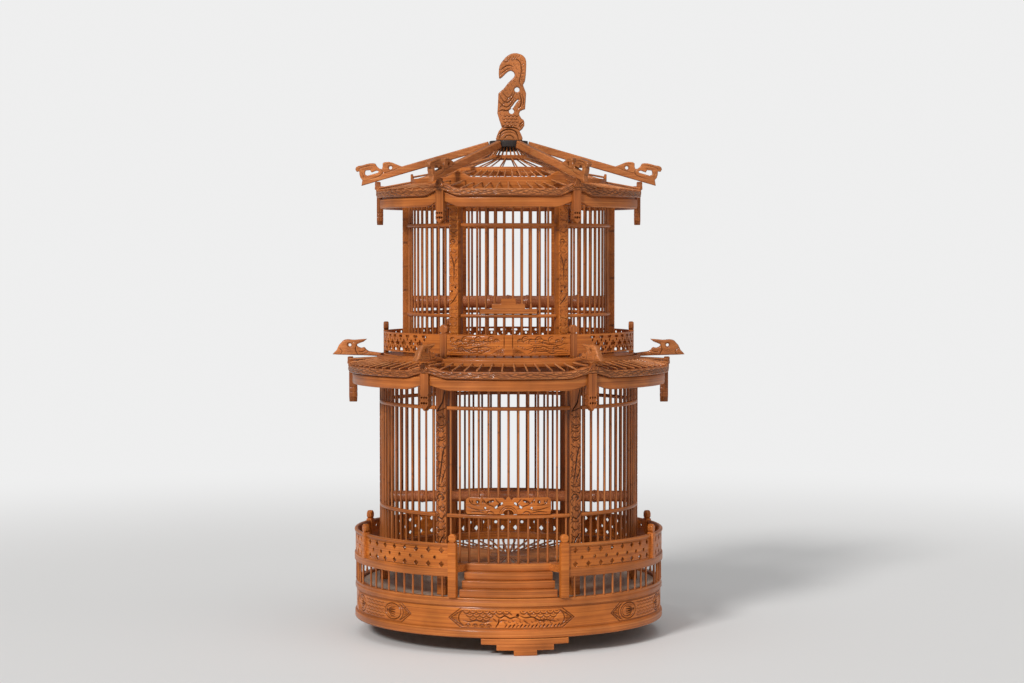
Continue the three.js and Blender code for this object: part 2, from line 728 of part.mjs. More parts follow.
// An eave: hoop, fascia under it, corner blocks, pendants, and the head ring with its six arms
function makeEave(eave) {
  const outer = eave.radius;
  const fasciaOuter = outer - eave.fasciaSetback;
  const fasciaInner = fasciaOuter - eave.fasciaThickness;
  const fasciaBottom = eave.bottom - eave.fasciaHeight;
  const section = [
    [fasciaInner, fasciaBottom], [fasciaOuter, fasciaBottom], [fasciaOuter, eave.bottom],
    [outer, eave.bottom], [outer, eave.top], [fasciaInner, eave.top],
  ];
  const solids = [solid(liftCorners(hoop(section, eaveFacets), eave.cornerLift))];
  const headSection = flatSection(eave.headInner, eave.headOuter, eave.headBottom, eave.bottom);
  solids.push(solid(hoop(headSection, ringFacets)));
  for (let corner = 0; corner < cornerCount; corner += 1) {
    const azimuth = cornerAzimuth(corner);
    solids.push(block(armWidth, eave.headOuter - glueOverlap, fasciaInner + glueOverlap, azimuth,
      eave.headBottom, eave.bottom));
    solids.push(eave.cornerBlock(azimuth));
    const pendantBottom = fasciaBottom + eave.pendantTopRise - eave.pendantHeight;
    const outline = sharesOutline(pendantShares, eave.pendantWidth, eave.pendantHeight, 0, pendantBottom);
    solids.push(facingPlate(outline, eave.pendantOuter - eave.pendantDepth, eave.pendantOuter, azimuth));
  }
  piece(`${eave.name}_eave`, joined(solids), bamboo);
}

// Lower roof: splints from the eave up to a band round the gallery, slotted for the bird heads
function makeLowerRoof() {
  const bandInner = lowerRoofBandRadius;
  const bandOuter = bandInner + lowerRoofBandThickness;
  const bandBottom = lowerEaveTop + lowerRoofBandRise;
  const bandTop = bandBottom + lowerRoofBandHeight;
  const bandFacets = lowerRoofSplintCount;
  const solids = [solid(hoop(flatSection(bandInner, bandOuter, bandBottom, bandTop), bandFacets))];
  const radius = splintCorner(roofSplintThickness);
  const pitch = 360 / lowerRoofSplintCount;
  for (let i = 0; i < lowerRoofSplintCount; i += 1) {
    const azimuth = (i + 0.5) * pitch;
    const lift = lowerCornerLift * facetBump(azimuth);
    const start = spot(lowerEaveRadius - radius, azimuth, lowerEaveTop + clearance + radius + lift);
    const end = spot(bandInner + lowerRoofBandThickness / 2, azimuth, bandTop - lowerRoofSplintDrop);
    solids.push(splint(roofSplintThickness, start, end));
  }
  let roof = joined(solids);
  for (let corner = 0; corner < cornerCount; corner += 1) {
    roof = roof.subtract(block(birdThickness + 2 * clearance, bandInner - cutOverrun,
      lowerEaveRadius + cutOverrun, cornerAzimuth(corner), birdBottom - clearance, bandTop + birdHeight));
    roof = roof.subtract(block(cornerBlockWidth + 2 * clearance,
      lowerEaveRadius - lowerBlockSetback - lowerBlockDepth - clearance, lowerEaveRadius + cutOverrun,
      cornerAzimuth(corner), lowerEaveTop, birdBottom + birdHeight));
  }
  piece('lower_roof', roof, paleBamboo);
}

// The bird head: neck, crest, domed head and beak, as shares of its reach and height
const birdShares = [
  [0, 0], [0.32, 0.05], [0.87, 0.09], [1, 0.11], [0.91, 0.38], [0.885, 0.55], [0.82, 0.79],
  [0.754, 0.945], [0.654, 0.97], [0.543, 0.945], [0.289, 1], [0.362, 0.835], [0.441, 0.757],
  [0.497, 0.683], [0.472, 0.55], [0.418, 0.486], [0.362, 0.528], [0.308, 0.394], [0.246, 0.289],
  [0, 0.2],
];
const birdEyeShares = [0.644, 0.651];
const birdBottom = lowerEaveTop + lowerBlockDepth;

// Six carved bird heads on the corners of the lower roof
function makeBirds() {
  for (let corner = 0; corner < cornerCount; corner += 1) {
    const outline = sharesOutline(birdShares, birdReach, birdHeight, birdRootRadius, birdBottom);
    const eye = new THREE.Path();
    eye.absarc(birdRootRadius + birdEyeShares[0] * birdReach, birdBottom + birdEyeShares[1] * birdHeight,
      birdEyeRadius, 0, 2 * Math.PI);
    outline.holes.push(eye);
    const head = radialPlate(outline, birdThickness, cornerAzimuth(corner));
    piece(`bird_head_${cornerNames[corner]}`, head, carvedBamboo);
  }
}

// Gallery: a round floor on six blocks, a carved board in front and a lattice round the rest
function makeGallery() {
  const floorRadius = galleryRailRadius;
  const disc = new THREE.CylinderGeometry(floorRadius, floorRadius, galleryFloorThickness, eaveFacets);
  disc.rotateX(Math.PI / 2).translate(0, 0, galleryFloorBottom + galleryFloorThickness / 2);
  const blockOuter = floorRadius - clearance;
  const blocks = cornerNames.map((name, corner) => block(upperPostWidth, blockOuter - galleryBlockDepth,
    blockOuter, cornerAzimuth(corner), lowerEaveBottom + clearance, galleryFloorBottom + glueOverlap));
  piece('gallery_floor', joined([solid(disc), ...blocks]), bamboo);

  const outer = galleryRailRadius;
  const inner = outer - galleryRailThickness;
  const postHalf = degrees((galleryPostWidth / 2 + clearance) / inner);
  const bottom = galleryFloorTop + clearance;
  const top = bottom + galleryBoardHeight;
  const boardHalf = firstCorner - postHalf;
  const board = bentBoard(inner, outer, -boardHalf, boardHalf, bottom, top, bayFacets);
  piece('gallery_front_board', board, carvedBamboo);

  const lastCorner = firstCorner + (cornerCount - 1) * sectorAngle;
  const latticeFacets = bayFacets * (cornerCount - 1);
  const solids = [bentBoard(inner, outer, firstCorner, lastCorner, bottom, top, latticeFacets)];
  const postInner = outer - galleryPostDepth;
  const postTop = bottom + galleryPostHeight - galleryFinialThickness - finialNeck;
  for (let corner = 0; corner < cornerCount; corner += 1) {
    const azimuth = cornerAzimuth(corner);
    solids.push(block(galleryPostWidth, postInner, outer, azimuth, bottom, postTop));
    solids.push(finial(galleryFinialThickness, (postInner + outer) / 2, azimuth, postTop));
  }
  piece('gallery_lattice', joined(solids), carvedBamboo);
}

// Upper roof: three rings carried by three sets of splints
function makeUpperRoof() {
  const radius = splintCorner(roofSplintThickness);
  const halfFacet = Math.PI / ringFacets;
  const bandBottom = upperEaveTop + bandRise;
  const bandTop = bandBottom + bandHeight;
  const midBottom = upperEaveTop + midRingRise;
  const midTop = midBottom + midRingHeight;
  const crownBottom = upperEaveTop + crownRingRise;
  const crownTop = crownBottom + crownRingHeight;
  const band = hoop(flatSection(bandRadius - bandThickness, bandRadius, bandBottom, bandTop), ringFacets);
  const mid = hoop(flatSection(midRingRadius - midRingWidth, midRingRadius, midBottom, midTop), ringFacets);
  const crown = hoop(flatSection(crownRingRadius - crownRingWidth, crownRingRadius, crownBottom, crownTop),
    crownSplintCount);
  const solids = [
    solid(liftCorners(band.rotateZ(halfFacet), 2 * upperCornerLift)),
    solid(mid.rotateZ(halfFacet)),
    solid(crown.rotateZ(Math.PI / crownSplintCount)),
  ];
  const bandMiddle = bandRadius - bandThickness / 2;
  const midMiddle = midRingRadius - midRingWidth / 2;
  const crownMiddle = crownRingRadius - crownRingWidth / 2;
  for (let i = 0; i < upperRoofSplintCount; i += 1) {
    const azimuth = i * 360 / upperRoofSplintCount;
    const lift = upperCornerLift * facetBump(azimuth);
    if (lift < upperCornerLift) {
      const start = spot(upperEaveRadius - radius, azimuth, upperEaveTop + clearance + radius + lift);
      solids.push(splint(roofSplintThickness, start,
        spot(bandMiddle, azimuth, bandBottom + bandSeatRise + lift)));
      solids.push(splint(roofSplintThickness, spot(bandMiddle, azimuth, bandTop - radius + lift),
        spot(midMiddle, azimuth, midBottom + midSeatRise)));
    }
  }
  for (let i = 0; i < topSplintCount; i += 1) {
    const azimuth = i * 360 / topSplintCount;
    solids.push(splint(roofSplintThickness, spot(midMiddle, azimuth, midTop - radius),
      spot(crownMiddle, azimuth, crownBottom + crownRingHeight / 2)));
  }
  for (let i = 0; i < crownSplintCount; i += 1) {
    const azimuth = i * 360 / crownSplintCount;
    solids.push(splint(roofSplintThickness, spot(crownMiddle, azimuth, crownTop - radius),
      spot(topSplintEndRadius, azimuth, upperEaveTop + topSplintEndRise)));
  }
  piece('upper_roof', joined(solids), paleBamboo);
}

// The rib's carved head, as shares of the rib's length and of the head's height above its lower edge
const ribHeadShares = [
  [1, 0], [0.981, 0.264], [0.99, 0.384], [0.991, 0.564], [0.985, 0.716], [1.005, 0.736], [1.01, 0.864],
  [1, 0.964], [0.981, 0.996], [0.952, 0.968], [0.919, 0.972], [0.895, 0.96], [0.854, 0.872],
  [0.849, 0.724], [0.819, 0.52], [0.801, 0.784], [0.785, 0.812], [0.754, 0.768], [0.73, 0.68],
];
const ribMouthShares = [
  [0.939, 0.676], [0.949, 0.468], [0.934, 0.4], [0.855, 0.4], [0.845, 0.45], [0.861, 0.52],
  [0.901, 0.5], [0.905, 0.632],
];
const ribEyeShares = [0.754, 0.46];
const ribHeadRootShare = 0.67;
const ribStartRadius = hubRadius + clearance;
const ribRun = upperEaveRadius + ribOverhang - ribStartRadius;
const ribLength = Math.hypot(ribRun, ribFall);
const ribStartHeight = hubBottom - ribHeight / 2 + hubHeight / 2;

// A point of a rib's outline, from the distance along it and above its lower edge
function ribPoint(along, up) {
  const fall = ribFall / ribLength;
  const run = ribRun / ribLength;
  return new THREE.Vector2(ribStartRadius + along * run + up * fall,
    ribStartHeight - along * fall + up * run);
}

// Six straight ribs from the hub to the corners, each with a pierced carved head
function makeRibs() {
  const shared = ([along, up]) => ribPoint(along * ribLength, up * ribHeadHeight);
  const slope = ribFall / ribRun;
  const points = [new THREE.Vector2(ribStartRadius, ribStartHeight)];
  points.push(...ribHeadShares.map(shared));
  points.push(ribPoint(ribHeadRootShare * ribLength, ribHeight));
  points.push(new THREE.Vector2(ribStartRadius, ribStartHeight + ribHeight * Math.sqrt(1 + slope ** 2)));
  for (let corner = 0; corner < cornerCount; corner += 1) {
    const outline = new THREE.Shape(points);
    outline.holes.push(new THREE.Path(ribMouthShares.map(shared)));
    const eyeCentre = shared(ribEyeShares);
    const eye = new THREE.Path();
    eye.absarc(eyeCentre.x, eyeCentre.y, ribHoleRadius, 0, 2 * Math.PI);
    outline.holes.push(eye);
    const rib = radialPlate(outline, ribThickness, cornerAzimuth(corner));
    piece(`rib_${cornerNames[corner]}`, rib, carvedBamboo);
  }
}

// Dark hub at the apex, bored for the hook's peg
function makeHub() {
  const neckBottom = hubBottom - hubNeckHeight;
  const hub = hoop([
    [pegRadius + slideClearance, neckBottom], [hubNeckRadius, neckBottom], [hubNeckRadius, hubBottom],
    [hubRadius, hubBottom], [hubRadius, hubTop], [pegRadius + slideClearance, hubTop],
  ], 2 * roundSides);
  piece('apex_hub', solid(hub), darkHub);
}

// The hook: a flat carved neck and head whose beak curls over the hanging hole's place
const hookShares = [
  [-0.226, 0.724], [-0.32, 0.717], [-0.332, 0.772], [-0.308, 0.85], [-0.179, 0.921], [-0.014, 0.976],
  [0.174, 1], [0.362, 0.992], [0.504, 0.965], [0.586, 0.913], [0.586, 0.819], [0.551, 0.685],
  [0.48, 0.638], [0.586, 0.543], [0.574, 0.465], [0.551, 0.362], [0.386, 0.339], [0.362, 0.291],
  [0.433, 0.252], [0.527, 0.213], [0.527, 0.173], [0.362, 0.11], [0.468, 0.031], [0.456, 0],
  [-0.414, 0], [-0.39, 0.06], [-0.226, 0.15], [-0.296, 0.22], [-0.379, 0.315], [-0.355, 0.441],
  [-0.344, 0.539], [-0.155, 0.598], [-0.014, 0.661], [0.174, 0.724], [0.197, 0.764], [0.127, 0.795],
  [0.033, 0.799], [-0.085, 0.772],
];
const hookHoleShares = [[0.28, 0.583], [0.096, 0.335]];

function makeHook() {
  const base = hubTop + clearance;
  const outline = sharesOutline(hookShares, hookWidth, hookHeight, 0, base);
  hookHoleShares.forEach(([x, y]) => {
    const hole = new THREE.Path();
    hole.absarc(x * hookWidth, base + y * hookHeight, hookHoleRadius, 0, 2 * Math.PI);
    outline.holes.push(hole);
  });
  const plate = facingPlate(outline, -hookThickness / 2, hookThickness / 2, 0);
  const peg = new THREE.CylinderGeometry(pegRadius, pegRadius, pegLength + glueOverlap, roundSides);
  peg.rotateX(Math.PI / 2).translate(0, 0, base + (glueOverlap - pegLength) / 2);
  piece('hook', plate.add(solid(peg)), carvedBamboo);
}

// Values that a storey's pieces share
const lowerStorey = {
  name: 'lower',
  sillTop: lowerSillTop,
  headBottom: lowerHeadBottom,
  barCircle: lowerBarCircle,
  barThickness: lowerBarThickness,
  barPlaceCount: lowerBarPlaceCount,
  barsPerBayCount: lowerBarsPerBayCount,
  barTop: lowerHeadBottom,
  doorBarCount: lowerDoorBarCount,
  postWidth: lowerPostWidth,
  postDepth: lowerPostDepth,
  postProud: lowerPostProud,
  hoopHeights: [lowerHoopRise, lowerStoreyHeight - lowerHoopDrop],
  hoopHeight: lowerHoopHeight,
  hoopWidth: lowerHoopWidth,
};
const upperStorey = {
  name: 'upper',
  sillTop: galleryFloorTop,
  headBottom: upperHeadBottom,
  barCircle: upperBarCircle,
  barThickness: upperBarThickness,
  barPlaceCount: upperBarPlaceCount,
  barsPerBayCount: upperBarsPerBayCount,
  barTop: upperHeadBottom,
  doorBarCount: upperDoorBarCount,
  postWidth: upperPostWidth,
  postDepth: upperPostDepth,
  postProud: upperPostProud,
  hoopHeights: [upperHoopRise, upperStoreyHeight - upperHoopDrop],
  hoopHeight: upperHoopHeight,
  hoopWidth: upperHoopWidth,
};

// The lower corner blocks stand up to the bird heads
const lowerEaveSizes = {
  name: 'lower',
  radius: lowerEaveRadius,
  bottom: lowerEaveBottom,
  top: lowerEaveTop,
  headBottom: lowerHeadBottom,
  headOuter: lowerBarCircle - lowerBarThickness / 2 - slideClearance,
  headInner: lowerBarCircle - lowerBarThickness / 2 - slideClearance - lowerHeadWidth,
  fasciaHeight: lowerFasciaHeight,
  fasciaThickness: lowerFasciaThickness,
  fasciaSetback: lowerFasciaSetback,
  cornerLift: lowerCornerLift,
  pendantWidth: lowerPendantWidth,
  pendantHeight: lowerPendantHeight,
  pendantDepth: lowerPendantDepth,
  pendantOuter: lowerEaveRadius - clearance,
  pendantTopRise: lowerFasciaHeight,
  cornerBlock: (azimuth) => block(cornerBlockWidth, lowerEaveRadius - lowerBlockSetback - lowerBlockDepth,
    lowerEaveRadius - lowerBlockSetback, azimuth, lowerEaveBottom + clearance, birdBottom - clearance),
};

// The upper corner blocks have sloping tops that carry the ribs
const upperEaveSizes = {
  name: 'upper',
  radius: upperEaveRadius,
  bottom: upperEaveBottom,
  top: upperEaveTop,
  headBottom: upperHeadBottom,
  headOuter: upperBarCircle - upperBarThickness / 2 - slideClearance,
  headInner: upperBarCircle - upperBarThickness / 2 - slideClearance - upperHeadWidth,
  fasciaHeight: upperFasciaHeight,
  fasciaThickness: upperFasciaThickness,
  fasciaSetback: upperFasciaSetback,
  cornerLift: upperCornerLift,
  pendantWidth: upperPendantWidth,
  pendantHeight: upperPendantHeight,
  pendantDepth: upperPendantDepth,
  pendantOuter: upperEaveRadius - clearance,
  pendantTopRise: upperFasciaHeight,
  cornerBlock: (azimuth) => {
    const outer = upperEaveRadius - upperBlockSetback;
    const inner = outer - upperBlockDepth;
    const slope = ribFall / ribRun;
    const underRib = (radius) => ribStartHeight - (radius - ribStartRadius) * slope - clearance;
    const outline = new THREE.Shape([
      new THREE.Vector2(inner, upperEaveBottom + clearance),
      new THREE.Vector2(outer, upperEaveBottom + clearance),
      new THREE.Vector2(outer, underRib(outer)), new THREE.Vector2(inner, underRib(inner)),
    ]);
    return radialPlate(outline, cornerBlockWidth, azimuth);
  },
};

makeBase();
makeBalustrade();
makeStair();
makeSillAndFloor();
makeStorey(lowerStorey);
makeDoor(lowerStorey, lowerDoorPlate(lowerStorey));
makePerch('lower_perch', lowerStorey, lowerPerchThickness, lowerPerchRise);
makeEave(lowerEaveSizes);
makeLowerRoof();
makeBirds();
makeGallery();
makeStorey(upperStorey);
makeDoor(upperStorey, upperDoorPlate(upperStorey));
makePerch('upper_perch', upperStorey, upperPerchThickness, upperPerchRise);
makeEave(upperEaveSizes);
makeUpperRoof();
makeRibs();
makeHub();
makeHook();

export default cage;
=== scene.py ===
# %% [markdown]
# # A bamboo bird cage
# The cage is a drum with a balustrade and a stair, and two round storeys under six-cornered roofs.
# Its pieces are split bamboo, bent into hoops or carved flat, and all of them are varnished.
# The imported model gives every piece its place, so this script starts from it and only dresses it.
# Sizes and drawings are in millimetres, and the helpers that make meshes turn them into Blender's metres.
# Azimuths are in degrees, 0 at the front (-Y) and positive to the viewer's right.
# Separate pieces stand a small clearance apart, and glued ones overlap by a small lap.
# %% Load the frame
import math

import bmesh
import bpy
import numpy as np
from mathutils import Matrix, Vector


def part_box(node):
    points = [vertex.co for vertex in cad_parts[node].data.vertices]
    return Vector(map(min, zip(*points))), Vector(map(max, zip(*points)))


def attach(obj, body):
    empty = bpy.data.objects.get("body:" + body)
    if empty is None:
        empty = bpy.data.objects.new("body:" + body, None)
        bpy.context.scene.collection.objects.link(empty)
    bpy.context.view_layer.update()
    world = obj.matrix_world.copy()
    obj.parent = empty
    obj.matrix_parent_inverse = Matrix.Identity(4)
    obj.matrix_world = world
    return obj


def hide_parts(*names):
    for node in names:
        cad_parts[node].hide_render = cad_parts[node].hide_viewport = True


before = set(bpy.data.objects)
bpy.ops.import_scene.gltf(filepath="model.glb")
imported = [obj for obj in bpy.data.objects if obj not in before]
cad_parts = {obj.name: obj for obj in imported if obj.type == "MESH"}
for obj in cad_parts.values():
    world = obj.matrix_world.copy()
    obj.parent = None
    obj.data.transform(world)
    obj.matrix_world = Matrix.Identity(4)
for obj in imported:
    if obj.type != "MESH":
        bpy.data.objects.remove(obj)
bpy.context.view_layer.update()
mm = 0.001
clearance = 0.3
lap = 0.4
corner_count = 6
sector = 360 / corner_count
first_corner = sector / 2
corner_names = ("front_right", "right", "rear_right", "rear_left", "left", "front_left")
bay_names = ("front", "front_right", "rear_right", "rear", "rear_left", "front_left")

# %% [markdown]
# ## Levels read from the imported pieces
# A dressed piece must sit on the same levels as the solid that it stands for.
# Reading a node's box is safer than repeating its numbers, since the box follows the model.
# %% Levels and radii
def span(node):
    """The lowest and highest height of a node, in millimetres."""
    low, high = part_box(node)
    return low.z / mm, high.z / mm


def radius_of(node):
    """The radius of a round node, in millimetres, from how far it reaches at the back."""
    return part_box(node)[1].y / mm


base_radius = radius_of("base_drum")
lower_eave_radius = radius_of("lower_eave")
upper_eave_radius = radius_of("upper_eave")
drum_bottom, drum_top = span("base_drum")
deck_bottom, deck_top = span("deck_board")
lower_bar_bottom, lower_bar_top = span("lower_door")
upper_bar_bottom, upper_bar_top = span("upper_door")
post_bottom, post_top = span("lower_post_right")
gallery_floor_top = span("gallery_floor")[1]
hub_bottom, hub_top = span("apex_hub")
print("base radius", round(base_radius, 1), "eaves", round(lower_eave_radius, 1), round(upper_eave_radius, 1))

# %% [markdown]
# ## Camera, floor and light
# The photograph was taken from about three metres away with a long lens, level with the middle of the cage.
# A broad lamp stands on the left, a weaker one on the right, and a wide one overhead softens the shadows.
# The lamps are suns with a large angle, so the floor is lit evenly as far as it can be seen.
# The world is pale only for the camera's own rays, so the background costs no extra light on the cage.
# %% Camera
camera_distance = 2.87
camera_height = 0.4723
camera_side = 0.0042
camera_pitch = 2.208
camera_lens = 80.82
camera_data = bpy.data.cameras.new("camera")
camera_data.lens = camera_lens
camera_data.sensor_width = 36
camera = bpy.data.objects.new("camera", camera_data)
camera.location = (camera_side, -camera_distance, camera_height)
camera.rotation_euler = (math.radians(90 - camera_pitch), 0, 0)
bpy.context.scene.collection.objects.link(camera)
bpy.context.scene.camera = camera
bpy.context.scene.view_settings.view_transform = "Standard"
print("camera", camera_distance, "m away")


# %% Lamps
def lamp(name, azimuth, height, spread, power):
    """A soft distant lamp. Its azimuth and height are where the light comes from, in degrees."""
    data = bpy.data.lights.new(name, "SUN")
    data.angle = math.radians(spread)
    data.energy = power
    made = bpy.data.objects.new(name, data)
    turn, rise = math.radians(azimuth), math.radians(height)
    towards = Vector((-math.sin(turn) * math.cos(rise), math.cos(turn) * math.cos(rise), -math.sin(rise)))
    made.rotation_euler = towards.to_track_quat("-Z", "Y").to_euler()
    bpy.context.scene.collection.objects.link(made)


lamp("key_lamp", -30, 32, 12, 2.35)
lamp("fill_lamp", 50, 14, 80, 0.6)
lamp("top_lamp", -10, 76, 60, 0.9)

# %% World and floor
backdrop_colour = (0.86, 0.86, 0.86, 1)
world = bpy.data.worlds.new("studio")
world.use_nodes = True
bpy.context.scene.world = world
sky_tree = world.node_tree
sky_tree.nodes.clear()
lit = sky_tree.nodes.new("ShaderNodeBackground")
lit.inputs["Color"].default_value = (0.95, 0.97, 1.0, 1)
lit.inputs["Strength"].default_value = 0.26
seen = sky_tree.nodes.new("ShaderNodeBackground")
seen.inputs["Color"].default_value = backdrop_colour
rays = sky_tree.nodes.new("ShaderNodeLightPath")
either = sky_tree.nodes.new("ShaderNodeMixShader")
sky_out = sky_tree.nodes.new("ShaderNodeOutputWorld")
sky_tree.links.new(rays.outputs["Is Camera Ray"], either.inputs[0])
sky_tree.links.new(lit.outputs[0], either.inputs[1])
sky_tree.links.new(seen.outputs[0], either.inputs[2])
sky_tree.links.new(either.outputs[0], sky_out.inputs[0])

floor_half = 9.0
floor_mesh = bpy.data.meshes.new("studio_floor")
floor_corners = [(x * floor_half, y * floor_half, 0) for x, y in ((-1, -1), (1, -1), (1, 1), (-1, 1))]
floor_mesh.from_pydata(floor_corners, [], [(0, 1, 2, 3)])
floor = bpy.data.objects.new("studio_floor", floor_mesh)
bpy.context.scene.collection.objects.link(floor)

# %% [markdown]
# ## Varnished bamboo
# Split bamboo has long straight fibres, each a little paler or darker than the next, under a coat of varnish.
# The fibres run up the bars, around the hoops and outwards along the roof splints.
# One recipe makes them all: a noise stretched along the fibre, on coordinates that turn with the cage.
# Carved pieces also carry an attribute named cut, which is 1 in the bottom of a groove, where the colour is
# darkened as painted shade.
# %% Node helpers
def place(tree, kind, links=None, **settings):
    """Adds a node, sets its properties, and gives its inputs a value or a link."""
    node = tree.nodes.new(kind)
    for key, value in settings.items():
        setattr(node, key, value)
    for key, value in (links or {}).items():
        if isinstance(value, bpy.types.NodeSocket):
            tree.links.new(value, node.inputs[key])
        else:
            node.inputs[key].default_value = value
    return node


def calc(tree, operation, *values):
    """One step of arithmetic in a node tree."""
    return place(tree, "ShaderNodeMath", dict(enumerate(values)), operation=operation).outputs[0]


def srgb(red, green, blue):
    """A colour as it shows on a screen, 0 to 255, as Blender stores it."""
    return tuple(((v / 255 + 0.055) / 1.055) ** 2.4 for v in (red, green, blue)) + (1,)


# %% Coordinates that turn with the cage
turned = bpy.data.node_groups.new("round_the_axis", "ShaderNodeTree")
for label in ("Around", "Out", "Up"):
    turned.interface.new_socket(label, in_out="OUTPUT", socket_type="NodeSocketFloat")
typical_radius = 0.16
place_in = place(turned, "ShaderNodeTexCoord")
parts_in = place(turned, "ShaderNodeSeparateXYZ", {0: place_in.outputs["Object"]})
angle = calc(turned, "ARCTAN2", parts_in.outputs["X"], calc(turned, "MULTIPLY", parts_in.outputs["Y"], -1))
flat_place = place(turned, "ShaderNodeCombineXYZ", {"X": parts_in.outputs["X"], "Y": parts_in.outputs["Y"]})
reach = place(turned, "ShaderNodeVectorMath", {0: flat_place.outputs[0]}, operation="LENGTH")
place(turned, "NodeGroupOutput", {
    "Around": calc(turned, "MULTIPLY", angle, typical_radius),
    "Out": reach.outputs["Value"], "Up": parts_in.outputs["Z"]})
print("coordinates ready")

# %% A floor that fades into the backdrop
fade_from, fade_to = 0.8, 2.2
floor_finish = bpy.data.materials.new("studio_floor")
floor_finish.use_nodes = True
floor_tree = floor_finish.node_tree
floor_shader = floor_tree.nodes["Principled BSDF"]
floor_shader.inputs["Base Color"].default_value = (0.74, 0.73, 0.715, 1)
floor_shader.inputs["Roughness"].default_value = 0.6
floor_place = place(floor_tree, "ShaderNodeTexCoord").outputs["Object"]
spread_out = place(floor_tree, "ShaderNodeVectorMath", {0: floor_place}, operation="LENGTH").outputs["Value"]
fade = place(floor_tree, "ShaderNodeMapRange",
             {"Value": spread_out, "From Min": fade_from, "From Max": fade_to},
             interpolation_type="SMOOTHSTEP")
seen_directly = place(floor_tree, "ShaderNodeLightPath").outputs["Is Camera Ray"]
far_and_seen = calc(floor_tree, "MULTIPLY", fade.outputs[0], seen_directly)
glow = place(floor_tree, "ShaderNodeEmission", {"Color": backdrop_colour})
blended = place(floor_tree, "ShaderNodeMixShader",
                {0: far_and_seen, 1: floor_shader.outputs[0], 2: glow.outputs[0]})
floor_tree.links.new(blended.outputs[0], floor_tree.nodes["Material Output"].inputs["Surface"])
floor_mesh.materials.append(floor_finish)

# %% [markdown]
# ## One recipe for ten finishes
# The fibre noise is fine across the grain and long along it.
# A broad soft noise makes paler and darker patches.
# Bars get darker bands where the cane had its nodes, at a height that differs from bar to bar.
# %% The bamboo recipe
grain_scales = {"up": (700, 700, 8), "around": (6, 640, 640), "out": (640, 9, 640)}


def bamboo(name, grain, *shades, roughness=0.36, bands=0.0, bump=0.12):
    """A varnished bamboo finish with its fibres up, around or out, in a dark, a middle and a light shade."""
    dark, middle, light = (srgb(*shade) for shade in shades)
    material = bpy.data.materials.new(name)
    material.use_nodes = True
    tree = material.node_tree
    shader = tree.nodes["Principled BSDF"]
    coords = place(tree, "ShaderNodeGroup", node_tree=turned)
    around, out, up = (coords.outputs[k] for k in ("Around", "Out", "Up"))
    a, o, u = grain_scales[grain]
    stretched = place(tree, "ShaderNodeCombineXYZ", {
        "X": calc(tree, "MULTIPLY", around, a), "Y": calc(tree, "MULTIPLY", out, o),
        "Z": calc(tree, "MULTIPLY", up, u)})
    fibres = place(tree, "ShaderNodeTexNoise", {
        "Vector": stretched.outputs[0], "Scale": 1.0, "Detail": 5.0, "Roughness": 0.62})
    placed = place(tree, "ShaderNodeTexCoord")
    patches = place(tree, "ShaderNodeTexNoise", {
        "Vector": placed.outputs["Object"], "Scale": 17.0, "Detail": 3.0, "Roughness": 0.55})
    ramp = place(tree, "ShaderNodeValToRGB", {"Fac": fibres.outputs["Fac"]})
    ramp.color_ramp.elements[0].position = 0.24
    ramp.color_ramp.elements[0].color = dark
    ramp.color_ramp.elements[1].position = 0.78
    ramp.color_ramp.elements[1].color = light
    stop = ramp.color_ramp.elements.new(0.52)
    stop.color = middle
    tone = place(tree, "ShaderNodeMapRange", {
        "Value": patches.outputs["Fac"], "From Min": 0.3, "From Max": 0.7, "To Min": 0.68, "To Max": 1.2})
    toned = place(tree, "ShaderNodeMix", {"Factor": 1.0, 6: ramp.outputs["Color"]},
                  data_type="RGBA", blend_type="MULTIPLY")
    grey = place(tree, "ShaderNodeCombineColor", {
        "Red": tone.outputs[0], "Green": tone.outputs[0], "Blue": tone.outputs[0]})
    tree.links.new(grey.outputs[0], toned.inputs[7])
    colour = toned.outputs[2]
    if bands:
        which = place(tree, "ShaderNodeTexWhiteNoise", {
            "W": calc(tree, "ROUND", calc(tree, "MULTIPLY", around, 86))}, noise_dimensions="1D")
        height = calc(tree, "ADD", up, calc(tree, "MULTIPLY", which.outputs["Value"], 0.11))
        beat = calc(tree, "FRACT", calc(tree, "MULTIPLY", height, 9))
        near = calc(tree, "ABSOLUTE", calc(tree, "SUBTRACT", beat, 0.5))
        band = place(tree, "ShaderNodeMapRange", {
            "Value": near, "From Min": 0.0, "From Max": 0.018, "To Min": bands, "To Max": 0.0})
        ringed = place(tree, "ShaderNodeMix", {0: band.outputs[0], 6: colour, 7: dark}, data_type="RGBA")
        colour = ringed.outputs[2]
    # The cut attribute darkens the colour towards a near-black brown: painted shade in the grooves and on cut
    # edges.
    cut = place(tree, "ShaderNodeAttribute", attribute_name="cut")
    painted_shade = tuple(v * 0.3 for v in dark[:3]) + (1,)
    painted_shade_mix = place(tree, "ShaderNodeMix", {0: cut.outputs["Fac"], 6: colour, 7: painted_shade}, data_type="RGBA")
    tree.links.new(painted_shade_mix.outputs[2], shader.inputs["Base Color"])
    shine = place(tree, "ShaderNodeMapRange", {
        "Value": patches.outputs["Fac"], "From Min": 0.3, "From Max": 0.7,
        "To Min": roughness - 0.07, "To Max": roughness + 0.12})
    tree.links.new(shine.outputs[0], shader.inputs["Roughness"])
    relief = place(tree, "ShaderNodeBump", {
        "Height": fibres.outputs["Fac"], "Strength": bump, "Distance": 0.0004})
    tree.links.new(relief.outputs[0], shader.inputs["Normal"])
    shader.inputs["Specular IOR Level"].default_value = 0.2
    shader.inputs["Coat Weight"].default_value = 0.16
    shader.inputs["Coat Roughness"].default_value = 0.12
    return material


